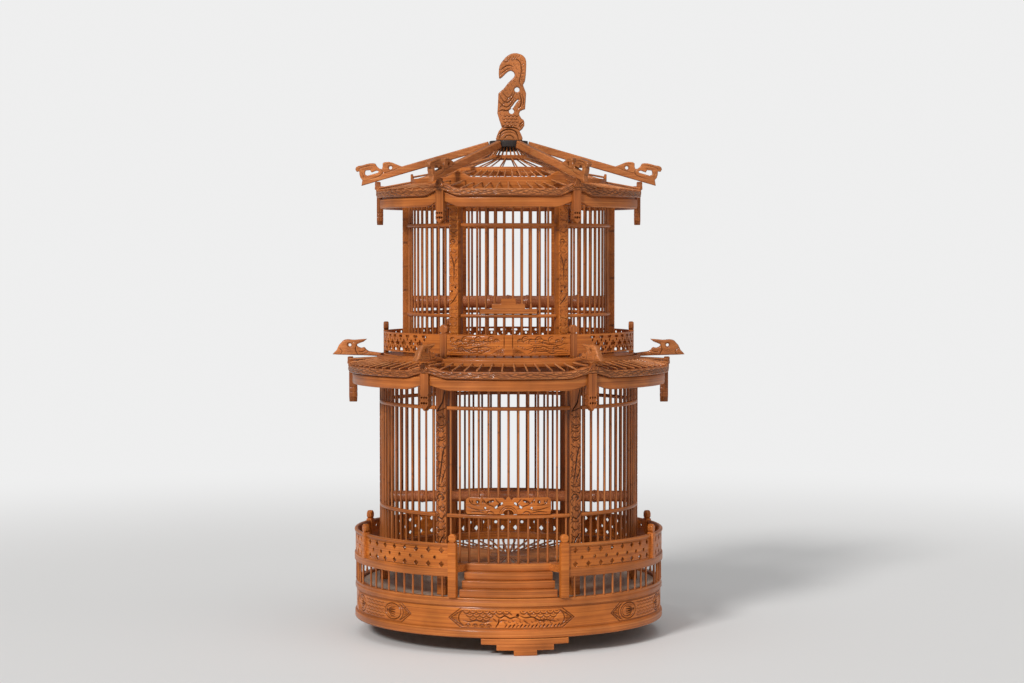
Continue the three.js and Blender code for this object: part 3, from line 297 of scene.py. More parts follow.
# %% The finishes
hoop_finish = bamboo("hoop_bamboo", "around", (122, 63, 24), (176, 98, 42), (208, 132, 66))
bar_finish = bamboo("bar_bamboo", "up", (104, 55, 24), (164, 92, 43), (202, 132, 72), bands=0.7)
splint_finish = bamboo("splint_bamboo", "out", (122, 68, 34), (182, 112, 64), (216, 156, 104))
post_finish = bamboo("post_bamboo", "up", (108, 56, 24), (164, 90, 40), (198, 124, 62))
board_finish = bamboo("carved_board", "around", (140, 70, 22), (190, 104, 38), (216, 132, 56))
rib_finish = bamboo("rib_bamboo", "out", (146, 82, 40), (182, 108, 58), (206, 138, 80))
eave_finish = bamboo("eave_bamboo", "around", (114, 60, 28), (170, 98, 50), (204, 136, 80))
whip_finish = bamboo("dark_whip", "up", (118, 62, 36), (176, 102, 62), (210, 142, 96), roughness=0.3)
hub_finish = bamboo("dark_hub", "up", (26, 22, 22), (48, 41, 38), (82, 70, 62), roughness=0.55)
deck_finish = bamboo("deck_boards", "around", (122, 102, 88), (172, 150, 132), (198, 178, 160),
                     roughness=0.6, bump=0.25)
print("finishes", len(bpy.data.materials))

# %% [markdown]
# ## Two trees that repeat things
# Nearly everything on the cage repeats around its axis, so two Geometry Nodes trees do most of the work.
# The first lays round or oval splints between two circles, and makes bars, roof splints and floor splints.
# The second turns copies of one finished piece about the axis, and makes posts, pendants, panels and heads.
# Both end in Realize Instances and Set Material, and the result is kept as a plain mesh.
# %% Helpers for trees
def new_tree(name, sockets):
    """An empty Geometry Nodes tree with named inputs."""
    tree = bpy.data.node_groups.new(name, "GeometryNodeTree")
    tree.interface.new_socket("Geometry", in_out="INPUT", socket_type="NodeSocketGeometry")
    tree.interface.new_socket("Geometry", in_out="OUTPUT", socket_type="NodeSocketGeometry")
    for label, kind in sockets.items():
        tree.interface.new_socket(label, in_out="INPUT", socket_type="NodeSocket" + kind)
    return tree


def run_tree(name, tree, mesh, values):
    """Runs a tree on a mesh and returns an object that holds the result as a plain mesh."""
    made = bpy.data.objects.new(name, mesh or bpy.data.meshes.new(name))
    bpy.context.scene.collection.objects.link(made)
    modifier = made.modifiers.new("tree", "NODES")
    modifier.node_group = tree
    for item in tree.interface.items_tree:
        if item.in_out == "INPUT" and item.name in values:
            modifier[item.identifier] = values[item.name]
    bpy.context.view_layer.update()
    shown = made.evaluated_get(bpy.context.evaluated_depsgraph_get())
    result = bpy.data.meshes.new_from_object(shown)
    made.modifiers.clear()
    made.data = result
    result.name = name
    return made


# %% The splint tree
splint_tree = new_tree("splints_between_circles", {
    "Count": "Int", "First Azimuth": "Float", "Pitch": "Float", "Start Radius": "Float",
    "Start Height": "Float", "Start Lift": "Float", "End Radius": "Float", "End Height": "Float",
    "End Lift": "Float", "Width": "Float", "Thickness": "Float", "Wander": "Float", "Sides": "Int",
    "Steps": "Int", "Material": "Material"})
lift_half_angle = 9.3


def build_splint_tree(tree):
    """Lines on points, bent to the two circles and raised towards the six corners, then given a section."""
    given = tree.nodes.new("NodeGroupInput").outputs
    line = place(tree, "GeometryNodeMeshLine", {"Count": given["Count"]})
    stick = place(tree, "GeometryNodeCurvePrimitiveLine")
    on = place(tree, "GeometryNodeInstanceOnPoints", {
        "Points": line.outputs[0], "Instance": stick.outputs[0]})
    real = place(tree, "GeometryNodeRealizeInstances", {0: on.outputs[0]})
    steps = place(tree, "GeometryNodeResampleCurve", {"Curve": real.outputs[0], "Count": given["Steps"]})
    which = place(tree, "GeometryNodeCurveOfPoint")
    along = place(tree, "GeometryNodeSplineParameter").outputs["Factor"]
    azimuth = calc(tree, "MULTIPLY_ADD", which.outputs["Curve Index"], given["Pitch"], given["First Azimuth"])
    wrapped = calc(tree, "FLOORED_MODULO", azimuth, sector)
    away = calc(tree, "ABSOLUTE", calc(tree, "SUBTRACT", wrapped, first_corner))
    near = calc(tree, "MINIMUM", calc(tree, "DIVIDE", away, lift_half_angle), 1.0)
    bump = calc(tree, "POWER", calc(tree, "COSINE", calc(tree, "MULTIPLY", near, math.pi / 2)), 2.0)
    low = calc(tree, "MULTIPLY_ADD", bump, given["Start Lift"], given["Start Height"])
    high = calc(tree, "MULTIPLY_ADD", bump, given["End Lift"], given["End Height"])
    height = calc(tree, "MULTIPLY_ADD", calc(tree, "SUBTRACT", high, low), along, low)
    span = calc(tree, "SUBTRACT", given["End Radius"], given["Start Radius"])
    radius = calc(tree, "MULTIPLY_ADD", span, along, given["Start Radius"])
    turn = calc(tree, "RADIANS", azimuth)
    across = calc(tree, "MULTIPLY", radius, calc(tree, "SINE", turn))
    forward = calc(tree, "MULTIPLY", calc(tree, "MULTIPLY", radius, calc(tree, "COSINE", turn)), -1.0)
    spot = place(tree, "ShaderNodeCombineXYZ", {"X": across, "Y": forward, "Z": height})
    noise = place(tree, "ShaderNodeTexNoise", {"Vector": spot.outputs[0], "Scale": 9.0, "Detail": 1.0})
    centred = place(tree, "ShaderNodeVectorMath", {0: noise.outputs["Color"], 1: (0.5, 0.5, 0.5)},
                    operation="SUBTRACT")
    drift = place(tree, "ShaderNodeVectorMath", {0: centred.outputs[0], "Scale": given["Wander"]},
                  operation="SCALE")
    put = place(tree, "GeometryNodeSetPosition", {
        "Geometry": steps.outputs[0], "Position": spot.outputs[0], "Offset": drift.outputs[0]})
    upright = place(tree, "GeometryNodeSetCurveNormal", {"Curve": put.outputs[0]}, mode="Z_UP")
    section = place(tree, "GeometryNodeCurvePrimitiveCircle", {"Resolution": given["Sides"], "Radius": 0.5})
    sized = place(tree, "ShaderNodeCombineXYZ", {"X": given["Width"], "Y": given["Thickness"], "Z": 1.0})
    shaped = place(tree, "GeometryNodeTransform", {"Geometry": section.outputs[0], "Scale": sized.outputs[0]})
    skin = place(tree, "GeometryNodeCurveToMesh", {
        "Curve": upright.outputs[0], "Profile Curve": shaped.outputs[0], "Fill Caps": True})
    done = place(tree, "GeometryNodeSetMaterial",
                 {"Geometry": skin.outputs[0], "Material": given["Material"]})
    tree.links.new(done.outputs[0], tree.nodes.new("NodeGroupOutput").inputs[0])


build_splint_tree(splint_tree)
print("splint tree", len(splint_tree.nodes), "nodes")

# %% The turning tree
turning_tree = new_tree("copies_round_the_axis", {
    "Count": "Int", "First Azimuth": "Float", "Pitch": "Float", "Material": "Material"})


def build_turning_tree(tree):
    """Copies of the piece it is given, each turned by one pitch more than the last."""
    given = tree.nodes.new("NodeGroupInput").outputs
    line = place(tree, "GeometryNodeMeshLine", {"Count": given["Count"], "Offset": (0.0, 0.0, 0.0)})
    index = place(tree, "GeometryNodeInputIndex").outputs[0]
    azimuth = calc(tree, "MULTIPLY_ADD", index, given["Pitch"], given["First Azimuth"])
    turn = place(tree, "ShaderNodeCombineXYZ", {"Z": calc(tree, "RADIANS", azimuth)})
    on = place(tree, "GeometryNodeInstanceOnPoints", {
        "Points": line.outputs[0], "Instance": given["Geometry"], "Rotation": turn.outputs[0]})
    real = place(tree, "GeometryNodeRealizeInstances", {0: on.outputs[0]})
    done = place(tree, "GeometryNodeSetMaterial",
                 {"Geometry": real.outputs[0], "Material": given["Material"]})
    tree.links.new(done.outputs[0], tree.nodes.new("NodeGroupOutput").inputs[0])


build_turning_tree(turning_tree)
print("turning tree", len(turning_tree.nodes), "nodes")

# %% [markdown]
# ## Meshes from points
# Every hoop, rail and eave of the cage is one section bent round the axis, so one helper sweeps them all.
# A section is a closed list of (radius, height) points, and its corners are eased, because hand-planed
# bamboo has no sharp edge. The lift raises a hoop towards the six corners, as the eaves do.
# %% Mesh helpers
def mesh_object(name, points, faces, finish, cut=None, sharp=38, turn_out=True):
    """A new object from points in millimetres, with its finish, its painted groove shade and smooth shading.
    """
    mesh = bpy.data.meshes.new(name)
    mesh.from_pydata((np.asarray(points) * mm).tolist(), [], faces)
    if turn_out:
        tool = bmesh.new()
        tool.from_mesh(mesh)
        bmesh.ops.recalc_face_normals(tool, faces=tool.faces)
        tool.to_mesh(mesh)
        tool.free()
    mesh.shade_smooth()
    mesh.set_sharp_from_angle(angle=math.radians(sharp))
    mesh.materials.append(finish)
    # The cut layer holds the painted shade, 0 where none is painted.
    painted_shade = mesh.attributes.new("cut", "FLOAT", "POINT")
    painted_shade.data.foreach_set("value", np.zeros(len(mesh.vertices)) if cut is None else cut)
    made = bpy.data.objects.new(name, mesh)
    bpy.context.scene.collection.objects.link(made)
    return made


def joined(name, pieces):
    """One object from several that ride on the same body."""
    with bpy.context.temp_override(active_object=pieces[0], selected_editable_objects=pieces):
        bpy.ops.object.join()
    pieces[0].name = pieces[0].data.name = name
    return pieces[0]


def turned_copies(name, made, count, first, pitch):
    """Copies of a piece, turned about the axis by the turning tree, all in its first finish."""
    mesh = made.data
    bpy.data.objects.remove(made)
    return run_tree(name, turning_tree, mesh, {
        "Count": count, "First Azimuth": float(first), "Pitch": float(pitch), "Material": mesh.materials[0]})


def at_corners(name, made):
    """Six copies, one on each corner of the cage."""
    return turned_copies(name, made, corner_count, first_corner, sector)


def settle(made, slot, *nodes, body="cage"):
    """Gives a finished piece its body, and hides the solids that it stands for. Its slot is not used."""
    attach(made, body)
    if nodes:
        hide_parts(*nodes)
    triangles = sum(len(face.vertices) - 2 for face in made.data.polygons)
    print(f"{made.name}: {triangles} triangles, rides on {body}")


# %% Hoops and rails
def corner_bump(azimuth):
    """How far a lifted hoop has risen: 1 at the six corners, 0 between them."""
    away = np.abs(np.mod(azimuth, sector) - first_corner)
    return np.where(away < lift_half_angle, np.cos(np.radians(90 * away / lift_half_angle)) ** 2, 0.0)


def rounded(section, radius, steps=3):
    """A closed section whose corners are eased by a short curve."""
    soft = []
    for i, corner in enumerate(section):
        here = Vector(corner)
        back = Vector(section[i - 1]) - here
        ahead = Vector(section[(i + 1) % len(section)]) - here
        start = here + back.normalized() * min(radius, back.length / 2.1)
        end = here + ahead.normalized() * min(radius, ahead.length / 2.1)
        for k in range(steps + 1):
            t = k / steps
            soft.append(tuple((1 - t) ** 2 * start + 2 * t * (1 - t) * here + t * t * end))
    return soft


def box_section(inner, outer, bottom, top, ease=0.0):
    """The section of a plain hoop, its edges square or eased."""
    section = [(inner, bottom), (outer, bottom), (outer, top), (inner, top)]
    return rounded(section, ease) if ease else section


def ring(name, section, finish, start=0.0, end=360.0, pitch=2.0, lift=0.0, carve=None):
    """Sweeps a closed section round the axis, all the way or in part, and may carve its outer face."""
    whole = end - start >= 360
    count = max(2, round((end - start) / pitch))
    azimuths = start + (end - start) * np.arange(count + (not whole)) / count
    radii, heights = np.array(section).T
    across = np.broadcast_to(radii, (len(azimuths), len(radii))).copy()
    upwards = heights[None, :] + lift * corner_bump(azimuths)[:, None]
    # A carve also returns a mask of painted shade for its grooves, which is kept in cut.
    cut = np.zeros(across.shape)
    if carve:
        face = np.abs(radii - radii.max()) < 0.01
        depth, cut[:, face] = carve(azimuths[:, None], heights[None, face])
        across[:, face] -= depth
    turn = np.radians(azimuths)[:, None]
    points = np.stack([across * np.sin(turn), -across * np.cos(turn), upwards], axis=-1).reshape(-1, 3)
    size = len(section)
    rows = np.arange(count)[:, None]
    columns = np.arange(size)[None, :]
    here, after = rows * size, (rows + 1) % len(azimuths) * size
    beside = (columns + 1) % size
    faces = np.stack([here + columns, after + columns, after + beside, here + beside], axis=-1)
    faces = faces.reshape(-1, 4).tolist()
    if not whole:
        faces += [list(range(size)), [count * size + k for k in reversed(range(size))]]
    return mesh_object(name, points, faces, finish, cut.ravel())


def block(name, width, inner, outer, bottom, top, finish, ease=0.6, azimuth=0.0):
    """An upright block with eased edges that faces outwards at an azimuth."""
    tool = bmesh.new()
    bmesh.ops.create_cube(tool, size=1)
    bmesh.ops.scale(tool, vec=(width, outer - inner, top - bottom), verts=tool.verts)
    bmesh.ops.bevel(tool, geom=list(tool.edges), offset=ease, segments=2, profile=0.6, affect="EDGES")
    bmesh.ops.translate(tool, vec=(0, -(inner + outer) / 2, (bottom + top) / 2), verts=tool.verts)
    bmesh.ops.rotate(tool, matrix=Matrix.Rotation(math.radians(azimuth), 3, "Z"), verts=tool.verts)
    points = [tuple(v.co) for v in tool.verts]
    faces = [[v.index for v in face.verts] for face in tool.faces]
    tool.free()
    return mesh_object(name, points, faces, finish)


def lathe(name, profile, finish, centre=(0, 0, 0), sides=24):
    """Turns a (radius, height) profile that starts and ends on its own axis."""
    radii, heights = np.array(profile[1:-1]).T
    turn = 2 * np.pi * np.arange(sides) / sides
    points = [(centre[0] + r * np.cos(t), centre[1] + r * np.sin(t), centre[2] + h)
              for r, h in zip(radii, heights) for t in turn]
    faces = [[row * sides + k, row * sides + (k + 1) % sides, (row + 1) * sides + (k + 1) % sides,
              (row + 1) * sides + k] for row in range(len(radii) - 1) for k in range(sides)]
    for end, row in ((profile[0], 0), (profile[-1], len(radii) - 1)):
        points.append((centre[0], centre[1], centre[2] + end[1]))
        faces += [[len(points) - 1, row * sides + k, row * sides + (k + 1) % sides] for k in range(sides)]
    return mesh_object(name, points, faces, finish)


def round_board(name, radius, bottom, top, ease, finish):
    """A round board with eased edges."""
    edge = radius - ease
    return lathe(name, [(0, bottom), (edge, bottom), (radius, bottom + ease),
                        (radius, top - ease), (edge, top), (0, top)], finish, sides=128)


def splints(name, count, first, pitch, start, end, width, thickness, finish, lifts=(0.0, 0.0), wander=0.0,
            sides=8, steps=4):
    """Round or oval splints laid between two (radius, height) circles by the splint tree."""
    return run_tree(name, splint_tree, None, {
        "Count": count, "First Azimuth": float(first), "Pitch": float(pitch),
        "Start Radius": start[0] * mm, "Start Height": start[1] * mm, "Start Lift": lifts[0] * mm,
        "End Radius": end[0] * mm, "End Height": end[1] * mm, "End Lift": lifts[1] * mm,
        "Width": width * mm, "Thickness": thickness * mm, "Wander": wander * mm, "Sides": sides,
        "Steps": steps, "Material": finish})


print("mesh helpers ready")

# %% [markdown]
# ## A carving bench
# The boards, posts, heads and hook are sawn from a drawing, pierced, and then cut with a V-shaped tool.
# A modeller could trace each one by hand, but a drawing and a fine grid do it for all of them.
# The grid knows how far each of its points lies from the nearest edge of the drawing.
# That distance places the rim exactly, eases the edges, and a second distance sinks the V-cuts.
# %% Distance to a drawing
def gap_to_line(points, closed, across, up):
    """The shortest distance from each grid point to a line through the given points."""
    ends = np.roll(points, -1, axis=0) if closed else points[1:]
    nearest = np.full(across.shape, np.inf)
    for (ax, ay), (bx, by) in zip(points, ends):
        dx, dy = bx - ax, by - ay
        share = np.clip(((across - ax) * dx + (up - ay) * dy) / max(dx * dx + dy * dy, 1e-9), 0, 1)
        nearest = np.minimum(nearest, (across - ax - share * dx) ** 2 + (up - ay - share * dy) ** 2)
    return np.sqrt(nearest)


def inside_outline(points, across, up):
    """True where a grid point lies inside a closed outline."""
    odd = np.zeros(across.shape, bool)
    for (ax, ay), (bx, by) in zip(points, np.roll(points, -1, axis=0)):
        if ay != by:
            odd ^= ((ay > up) != (by > up)) & (across < ax + (up - ay) * (bx - ax) / (by - ay))
    return odd


def depth_inside(outlines, across, up):
    """Distance from the edge of a drawing, positive in the wood and negative in holes and outside."""
    nearest = np.full(across.shape, np.inf)
    wood = np.zeros(across.shape, bool)
    for outline in outlines:
        points = np.asarray(outline, float)
        (low_x, low_y), (high_x, high_y) = points.min(axis=0), points.max(axis=0)
        margin = 4.0
        near = ((across > low_x - margin) & (across < high_x + margin)
                & (up > low_y - margin) & (up < high_y + margin))
        nearest[near] = np.minimum(nearest[near], gap_to_line(points, True, across[near], up[near]))
        wood[near] ^= inside_outline(points, across[near], up[near])
    nearest = np.minimum(nearest, 4.0)
    return np.where(wood, nearest, -nearest)


def groove_depth(strokes, across, up):
    """How deep the V-cuts go at each grid point. A stroke is (points, width, depth) with thin ends."""
    depth = np.zeros(across.shape)
    for points, width, deep in strokes:
        points = np.asarray(points, float)
        closed = np.allclose(points[0], points[-1])
        if len(points) == 2:
            points = points[0] + np.linspace(0, 1, 7)[:, None] * (points[1] - points[0])
        low, high = points.min(axis=0) - width, points.max(axis=0) + width
        near = (across > low[0]) & (across < high[0]) & (up > low[1]) & (up < high[1])
        if near.any():
            here = depth[near]
            count = len(points) - 1
            for k in range(count):
                share = 1.0 if closed else 0.4 + 0.6 * math.sin(math.pi * (k + 0.5) / count) ** 0.6
                gap = gap_to_line(points[k:k + 2], False, across[near], up[near])
                here = np.maximum(here, deep * share * np.clip(1 - 2 * gap / (width * share), 0, 1))
            depth[near] = here
    return depth


# %% Drawing helpers
def arc(x, y, radius, start, end, steps=8, squash=1.0):
    """Points on an arc, its angles in degrees from the right, anticlockwise."""
    turn = np.radians(np.linspace(start, end, steps + 1))
    return np.stack([x + radius * np.cos(turn), y + squash * radius * np.sin(turn)], axis=-1)


def circle(x, y, radius, steps=16):
    """A closed round outline."""
    return arc(x, y, radius, 0, 360 - 360 / steps, steps - 1)


def soft_line(points, closed=False, steps=5):
    """A smooth line through given points."""
    points = np.asarray(points, float)
    if closed:
        padded = np.vstack([points[-1:], points, points[:2]])
    else:
        padded = np.vstack([2 * points[0] - points[1], points, 2 * points[-1] - points[-2]])
    line = []
    for before, start, end, after in zip(padded, padded[1:], padded[2:], padded[3:]):
        bend, twist = 2 * before - 5 * start + 4 * end - after, 3 * start - before - 3 * end + after
        for k in range(steps):
            t = k / steps
            line.append(0.5 * (2 * start + (end - before) * t + bend * t * t + twist * t ** 3))
    return np.array(line if closed else line + [points[-1]])


def traced(lines, put):
    """V-cuts along smooth lines. A line is (width, depth, points), and a mapping puts it in place."""
    return [(put(soft_line(points)), width, deep) for width, deep, points in lines]


def bolder(strokes, wider, deeper):
    """The same V-cuts, made wider and deeper."""
    return [(line, wider * width, deeper * deep) for line, width, deep in strokes]


def in_shares(width, height, x, y):
    """A mapping that takes shares of a width and a height to a place in a drawing."""
    return lambda points: np.asarray(points, float) * (width, height) + (x, y)


def moved(points, x=0.0, y=0.0, mirror=False):
    """A drawing moved, and turned left for right first if asked."""
    return np.asarray(points) * ((-1, 1) if mirror else (1, 1)) + (x, y)


# %% Sheets cut from a drawing
def cut_sheet(wood, cell):
    """Faces and rim of the part of a grid where wood is positive, by marching squares."""
    rows, columns = wood.shape
    least = 0.12 * cell
    wood = np.where(np.abs(wood) < least, np.where(wood < 0, -least, least), wood)
    grid = np.arange(rows * columns).reshape(rows, columns)
    flat = rows * columns + np.arange(rows * (columns - 1)).reshape(rows, columns - 1)
    tall = rows * columns + flat.size + np.arange((rows - 1) * columns).reshape(rows - 1, columns)
    corner_ids = (grid[:-1, :-1], grid[:-1, 1:], grid[1:, 1:], grid[1:, :-1])
    edge_ids = (flat[:-1], tall[:, 1:], flat[1:], tall[:, :-1])
    solid = [wood[:-1, :-1] > 0, wood[:-1, 1:] > 0, wood[1:, 1:] > 0, wood[1:, :-1] > 0]
    code = sum(part.astype(int) << k for k, part in enumerate(solid))
    faces, rim = [], []
    for case in range(1, 16):
        here = code == case
        if not here.any():
            continue
        walk = []
        for k in range(4):
            inside, following = case >> k & 1, case >> (k + 1) % 4 & 1
            if inside:
                walk.append((True, corner_ids[k][here]))
            if inside != following:
                walk.append((False, edge_ids[k][here]))
        faces += np.stack([ids for _, ids in walk], axis=-1).tolist()
        for (corner_a, ids_a), (corner_b, ids_b) in zip(walk, walk[1:] + walk[:1]):
            if not corner_a and not corner_b:
                rim += np.stack([ids_a, ids_b], axis=-1).tolist()
    share_flat = wood[:, :-1] / np.where(wood[:, :-1] == wood[:, 1:], 1, wood[:, :-1] - wood[:, 1:])
    share_tall = wood[:-1] / np.where(wood[:-1] == wood[1:], 1, wood[:-1] - wood[1:])
    return faces, rim, share_flat, share_tall


def carved(name, outlines, strokes, thickness, put, finish, cell=0.6, ease=0.8, both=False, swell=0.0,
           edge=0.35):
    """A board sawn and pierced from a drawing, with eased edges and V-cuts, put in place by a mapping."""
    everything = np.vstack([np.asarray(outline, float) for outline in outlines])
    low, high = everything.min(axis=0) - 1.7 * cell, everything.max(axis=0) + 1.7 * cell
    across, up = np.meshgrid(np.arange(low[0], high[0] + cell, cell), np.arange(low[1], high[1] + cell, cell))
    wood = depth_inside(outlines, across, up)
    faces, rim, share_flat, share_tall = cut_sheet(wood, cell)
    right = np.concatenate([across.ravel(), (across[:, :-1] + share_flat * cell).ravel(),
                            across[:-1].ravel()])
    height = np.concatenate([up.ravel(), up[:, :-1].ravel(), (up[:-1] + share_tall * cell).ravel()])
    used = np.unique(np.concatenate([np.ravel(face) for face in faces]))
    renumber = np.full(len(right), -1)
    renumber[used] = np.arange(len(used))
    right, height = right[used], height[used]
    inside = np.concatenate([wood.ravel(), np.zeros(share_flat.size + share_tall.size)])[used]
    inside = np.clip(inside, 0, None)
    drop = ease - np.sqrt(np.clip(ease ** 2 - np.clip(ease - inside, 0, None) ** 2, 0, None))
    rise = swell * (1 - np.clip(1 - inside / 4.0, 0, 1) ** 2)
    groove = groove_depth(strokes, right, height)
    groove = np.minimum(groove, thickness / 2 - drop)
    front = thickness / 2 - drop - groove + rise
    back = -thickness / 2 + drop + (groove if both else 0) - (rise if both else 0)
    points = np.concatenate([np.stack(put(right, height, front), axis=-1),
                             np.stack(put(right, height, back), axis=-1)])
    count = len(used)
    shell = [[int(renumber[i]) for i in face] for face in faces]
    under = [[count + i for i in reversed(face)] for face in shell]
    sides = [[int(renumber[a]), count + int(renumber[a]), count + int(renumber[b]), int(renumber[b])]
             for a, b in rim]
    # Every cut edge and hole wall is darkened by edge as painted shade, and each groove by its depth.
    painted_edge_shade = edge * (inside < 0.01)
    painted_shade = np.maximum(np.clip(groove / 0.8, 0, 1), painted_edge_shade)
    cut = np.concatenate([painted_shade, painted_shade if both else painted_edge_shade])
    return mesh_object(name, points, shell + under + sides, finish, cut, turn_out=False)


# %% Where a drawing goes
def facing(radius):
    """On a flat plate that faces outwards: the drawing's right, up and out."""
    return lambda right, up, out: (right, -(radius + out), up)


def bent(radius):
    """On a board bent round the axis, with its width measured along the arc."""
    return lambda right, up, out: ((radius + out) * np.sin(right / radius),
                                   -(radius + out) * np.cos(right / radius), up)


def radial(right, up, out):
    """On a plate in the radial plane: the drawing's right is outwards."""
    return -out, -right, up


print("carving bench ready")

# %% [markdown]
# ## The base
# The drum is bent from broad bamboo: a bottom rim, a skirt between two rims and a beaded top rim.
# It stands on three stepped feet, and a board closes it under the balustrade.
# The carved fields of the skirt are drawn flat and sunk into a fine grid as it is bent.
# %% Feet
foot_height = drum_bottom - clearance
foot_tier_height = foot_height / 3
foot_depth = 9.0
foot_width = 105.0
foot_width_shares = (0.26, 0.65, 1.0)
foot_azimuths = (6, 126, 246)
foot_tiers = []
for azimuth in foot_azimuths:
    for tier, share in enumerate(foot_width_shares):
        half = math.degrees(share * foot_width / 2 / base_radius)
        bottom, top = max(0.0, tier * foot_tier_height - lap), (tier + 1) * foot_tier_height
        section = box_section(base_radius - foot_depth, base_radius, bottom, top, 0.8)
        foot_tiers.append(ring("foot_tier", section, hoop_finish, azimuth - half, azimuth + half))
settle(joined("feet", foot_tiers), "bamboo", "foot_1", "foot_2", "foot_3")

# %% Skirt carving
rim_height = 10.0
skirt_height = 27.0
skirt_bottom = foot_height + rim_height
skirt_top = skirt_bottom + skirt_height
skirt_radius = base_radius - 2.0
field_half, leaf_half = 76.0, 70.0
field_turn = 1.2
field_point = 15.0
field_rise = 11.4
fine_cut, plain_cut, deep_cut = (1.4, 0.95), (1.8, 1.3), (2.3, 1.6)


def field_frame(half):
    """Two nested pointed ends, the lines between them, and hatching behind each point."""
    strokes = []
    for side in (-1, 1):
        for inset in (0.0, 2.8):
            tip, rise = half - inset, field_rise - 0.7 * inset
            strokes.append((np.array([(side * (tip - field_point), rise), (side * tip, 0),
                                      (side * (tip - field_point), -rise)]), *plain_cut))
        edge = half - field_point
        rise = side * field_rise
        strokes.append((np.array([(-edge, rise), (0, rise), (edge, rise)]), *fine_cut))
        bow = [(side * (half - away), y) for away, y in ((20, 10), (14, 5), (12.5, 0), (14, -5), (20, -10))]
        strokes.append((soft_line(bow), *plain_cut))
        for row in range(-3, 4):
            hatch, reach = side * (half - 11.5), side * (8.0 - 1.7 * abs(row))
            strokes.append((np.array([(hatch, 2 * row), (hatch + reach, 2 * row)]), *fine_cut))
    return strokes


def garden_field():
    """The field in front: clusters of leaves, a cloud line, a branch and a row of grass."""
    strokes = field_frame(field_half)
    rows = ((9.6, (-54, -46, -38, -30, -22, -14, -6, 14, 22, 30, 38, 46, 54)),
            (5.4, (-50, -42, -34, -26, 26, 34, 42, 50)), (1.2, (-46, -38, -30, 38, 46)))
    for height, places in rows:
        for x in places:
            strokes.append((arc(x, height, 4.3, 190, 350, 7), *plain_cut))
            strokes.append((arc(x, height + 0.8, 2.1, 205, 335, 5), *fine_cut))
    strokes += [(arc(7, 4, 1.0, 0, 360, 8), 2.4, 2.0),
                (soft_line([(-20, 5), (-14, 1), (-8, 3.4), (-2, 0.4), (4, 2), (10, -0.6)]), *deep_cut),
                (soft_line([(10, 3.4), (16, 1), (25, 1.6), (33, -2.4), (42, -1.6), (54, -4.4)]), *deep_cut),
                (soft_line([(-19, -10.4), (-15.6, -5), (-15, 0)]), *deep_cut),
                (soft_line([(-15.4, -4), (-11, -1.8), (-6, -2.4)]), *plain_cut),
                (soft_line([(-58, -2.8), (-50, -4.4), (-42, -2.6), (-33, -4.4), (-24, -2.8)]), *plain_cut)]
    for x in (-52, -43.5, -35, -27):
        strokes.append((arc(x, -10, 3.2, 10, 170, 7), *plain_cut))
        strokes += [([(x + away, -10.8), (x + 0.7 * away, -8.4)], *fine_cut) for away in (-1.3, 0.0, 1.3)]
    for i in range(15):
        x = -8 + 4.5 * i
        strokes.append(([(x, -10.4), (x + 2.6, -6.4 - i % 2)], *(deep_cut if i % 3 else plain_cut)))
        strokes.append((arc(x + 1.2, -4.4 + 1.3 * (i % 3), 1.5, 120 + 20 * (i % 4), 330, 5), *fine_cut))
    for x, y in ((-22, 0), (-12, 7.4), (-4, 8), (18, 6.2), (14, -2)):
        strokes.append(([(x, y), (x + 4.8, y - 4)], *plain_cut))
    return strokes


def leaf_field():
    """The other five fields: a leaf roundel near each point, and a ground of short wavy cuts."""
    strokes = field_frame(leaf_half)
    for side in (-1, 1):
        x = side * 39.0
        strokes += [(arc(x, 0, 14.5, 0, 360, 28, squash=0.66), *plain_cut),
                    (arc(x, 0, 11.8, 40, 320, 20, squash=0.6), *fine_cut),
                    (arc(x - side * 10.5, 0.6, 0.9, 0, 360, 8), 2.2, 1.7)]
        for lean in (-6.4, -3.6, -0.8, 2.2, 5.2):
            vein = soft_line([(x - side * 9, 0.4), (x - side * 3, 0.8 * lean), (x + side * 5, lean)])
            strokes.append((vein, *(deep_cut if abs(lean) < 3 else plain_cut)))
    for column in range(-5, 6):
        for row in range(-2, 3):
            x, y = 4.2 * column + 2.1 * (row % 2), 4.0 * row
            bend = 0.9 if (column + row) % 2 else -0.9
            strokes.append((np.array([(x - 1.6, y), (x, y + bend), (x + 1.6, y - 0.3)]), *fine_cut))
    return strokes


garden_strokes, leaf_strokes = garden_field(), leaf_field()


def carve_skirt(azimuth, height):
    """Depth and painted groove shade of the skirt's carving: the garden in front, leaves on the other five
    sixths.
    """
    azimuth, height = np.broadcast_arrays(azimuth, height)
    up = height - skirt_bottom - skirt_height / 2
    azimuth = np.mod(azimuth - field_turn, 360)
    across = np.radians(np.mod(azimuth + first_corner, sector) - first_corner) * skirt_radius
    in_front = (azimuth < first_corner) | (azimuth > 360 - first_corner)
    depth = np.where(in_front, groove_depth(garden_strokes, across, up),
                     groove_depth(leaf_strokes, across, up))
    seam = 0.7 * np.clip(1 - np.abs(skirt_height / 2 - np.abs(up) - 0.9) / 0.7, 0, 1)
    depth = np.maximum(depth, seam)
    # The second value is the painted shade in the grooves.
    return depth, np.clip(depth, 0, 1)


# %% Drum
drum_inner = base_radius - 14.0
skirt_rows = 46
skirt_overlap = 0.5
skirt_section = [(drum_inner, skirt_bottom - skirt_overlap)]
skirt_section += [(skirt_radius, height) for height in np.linspace(
    skirt_bottom - skirt_overlap, skirt_top + skirt_overlap, skirt_rows + 1)]
skirt_section += [(drum_inner, skirt_top + skirt_overlap)]
skirt = ring("skirt", skirt_section, board_finish, pitch=0.2, carve=carve_skirt)
settle(skirt, "carved_bamboo", "base_drum")

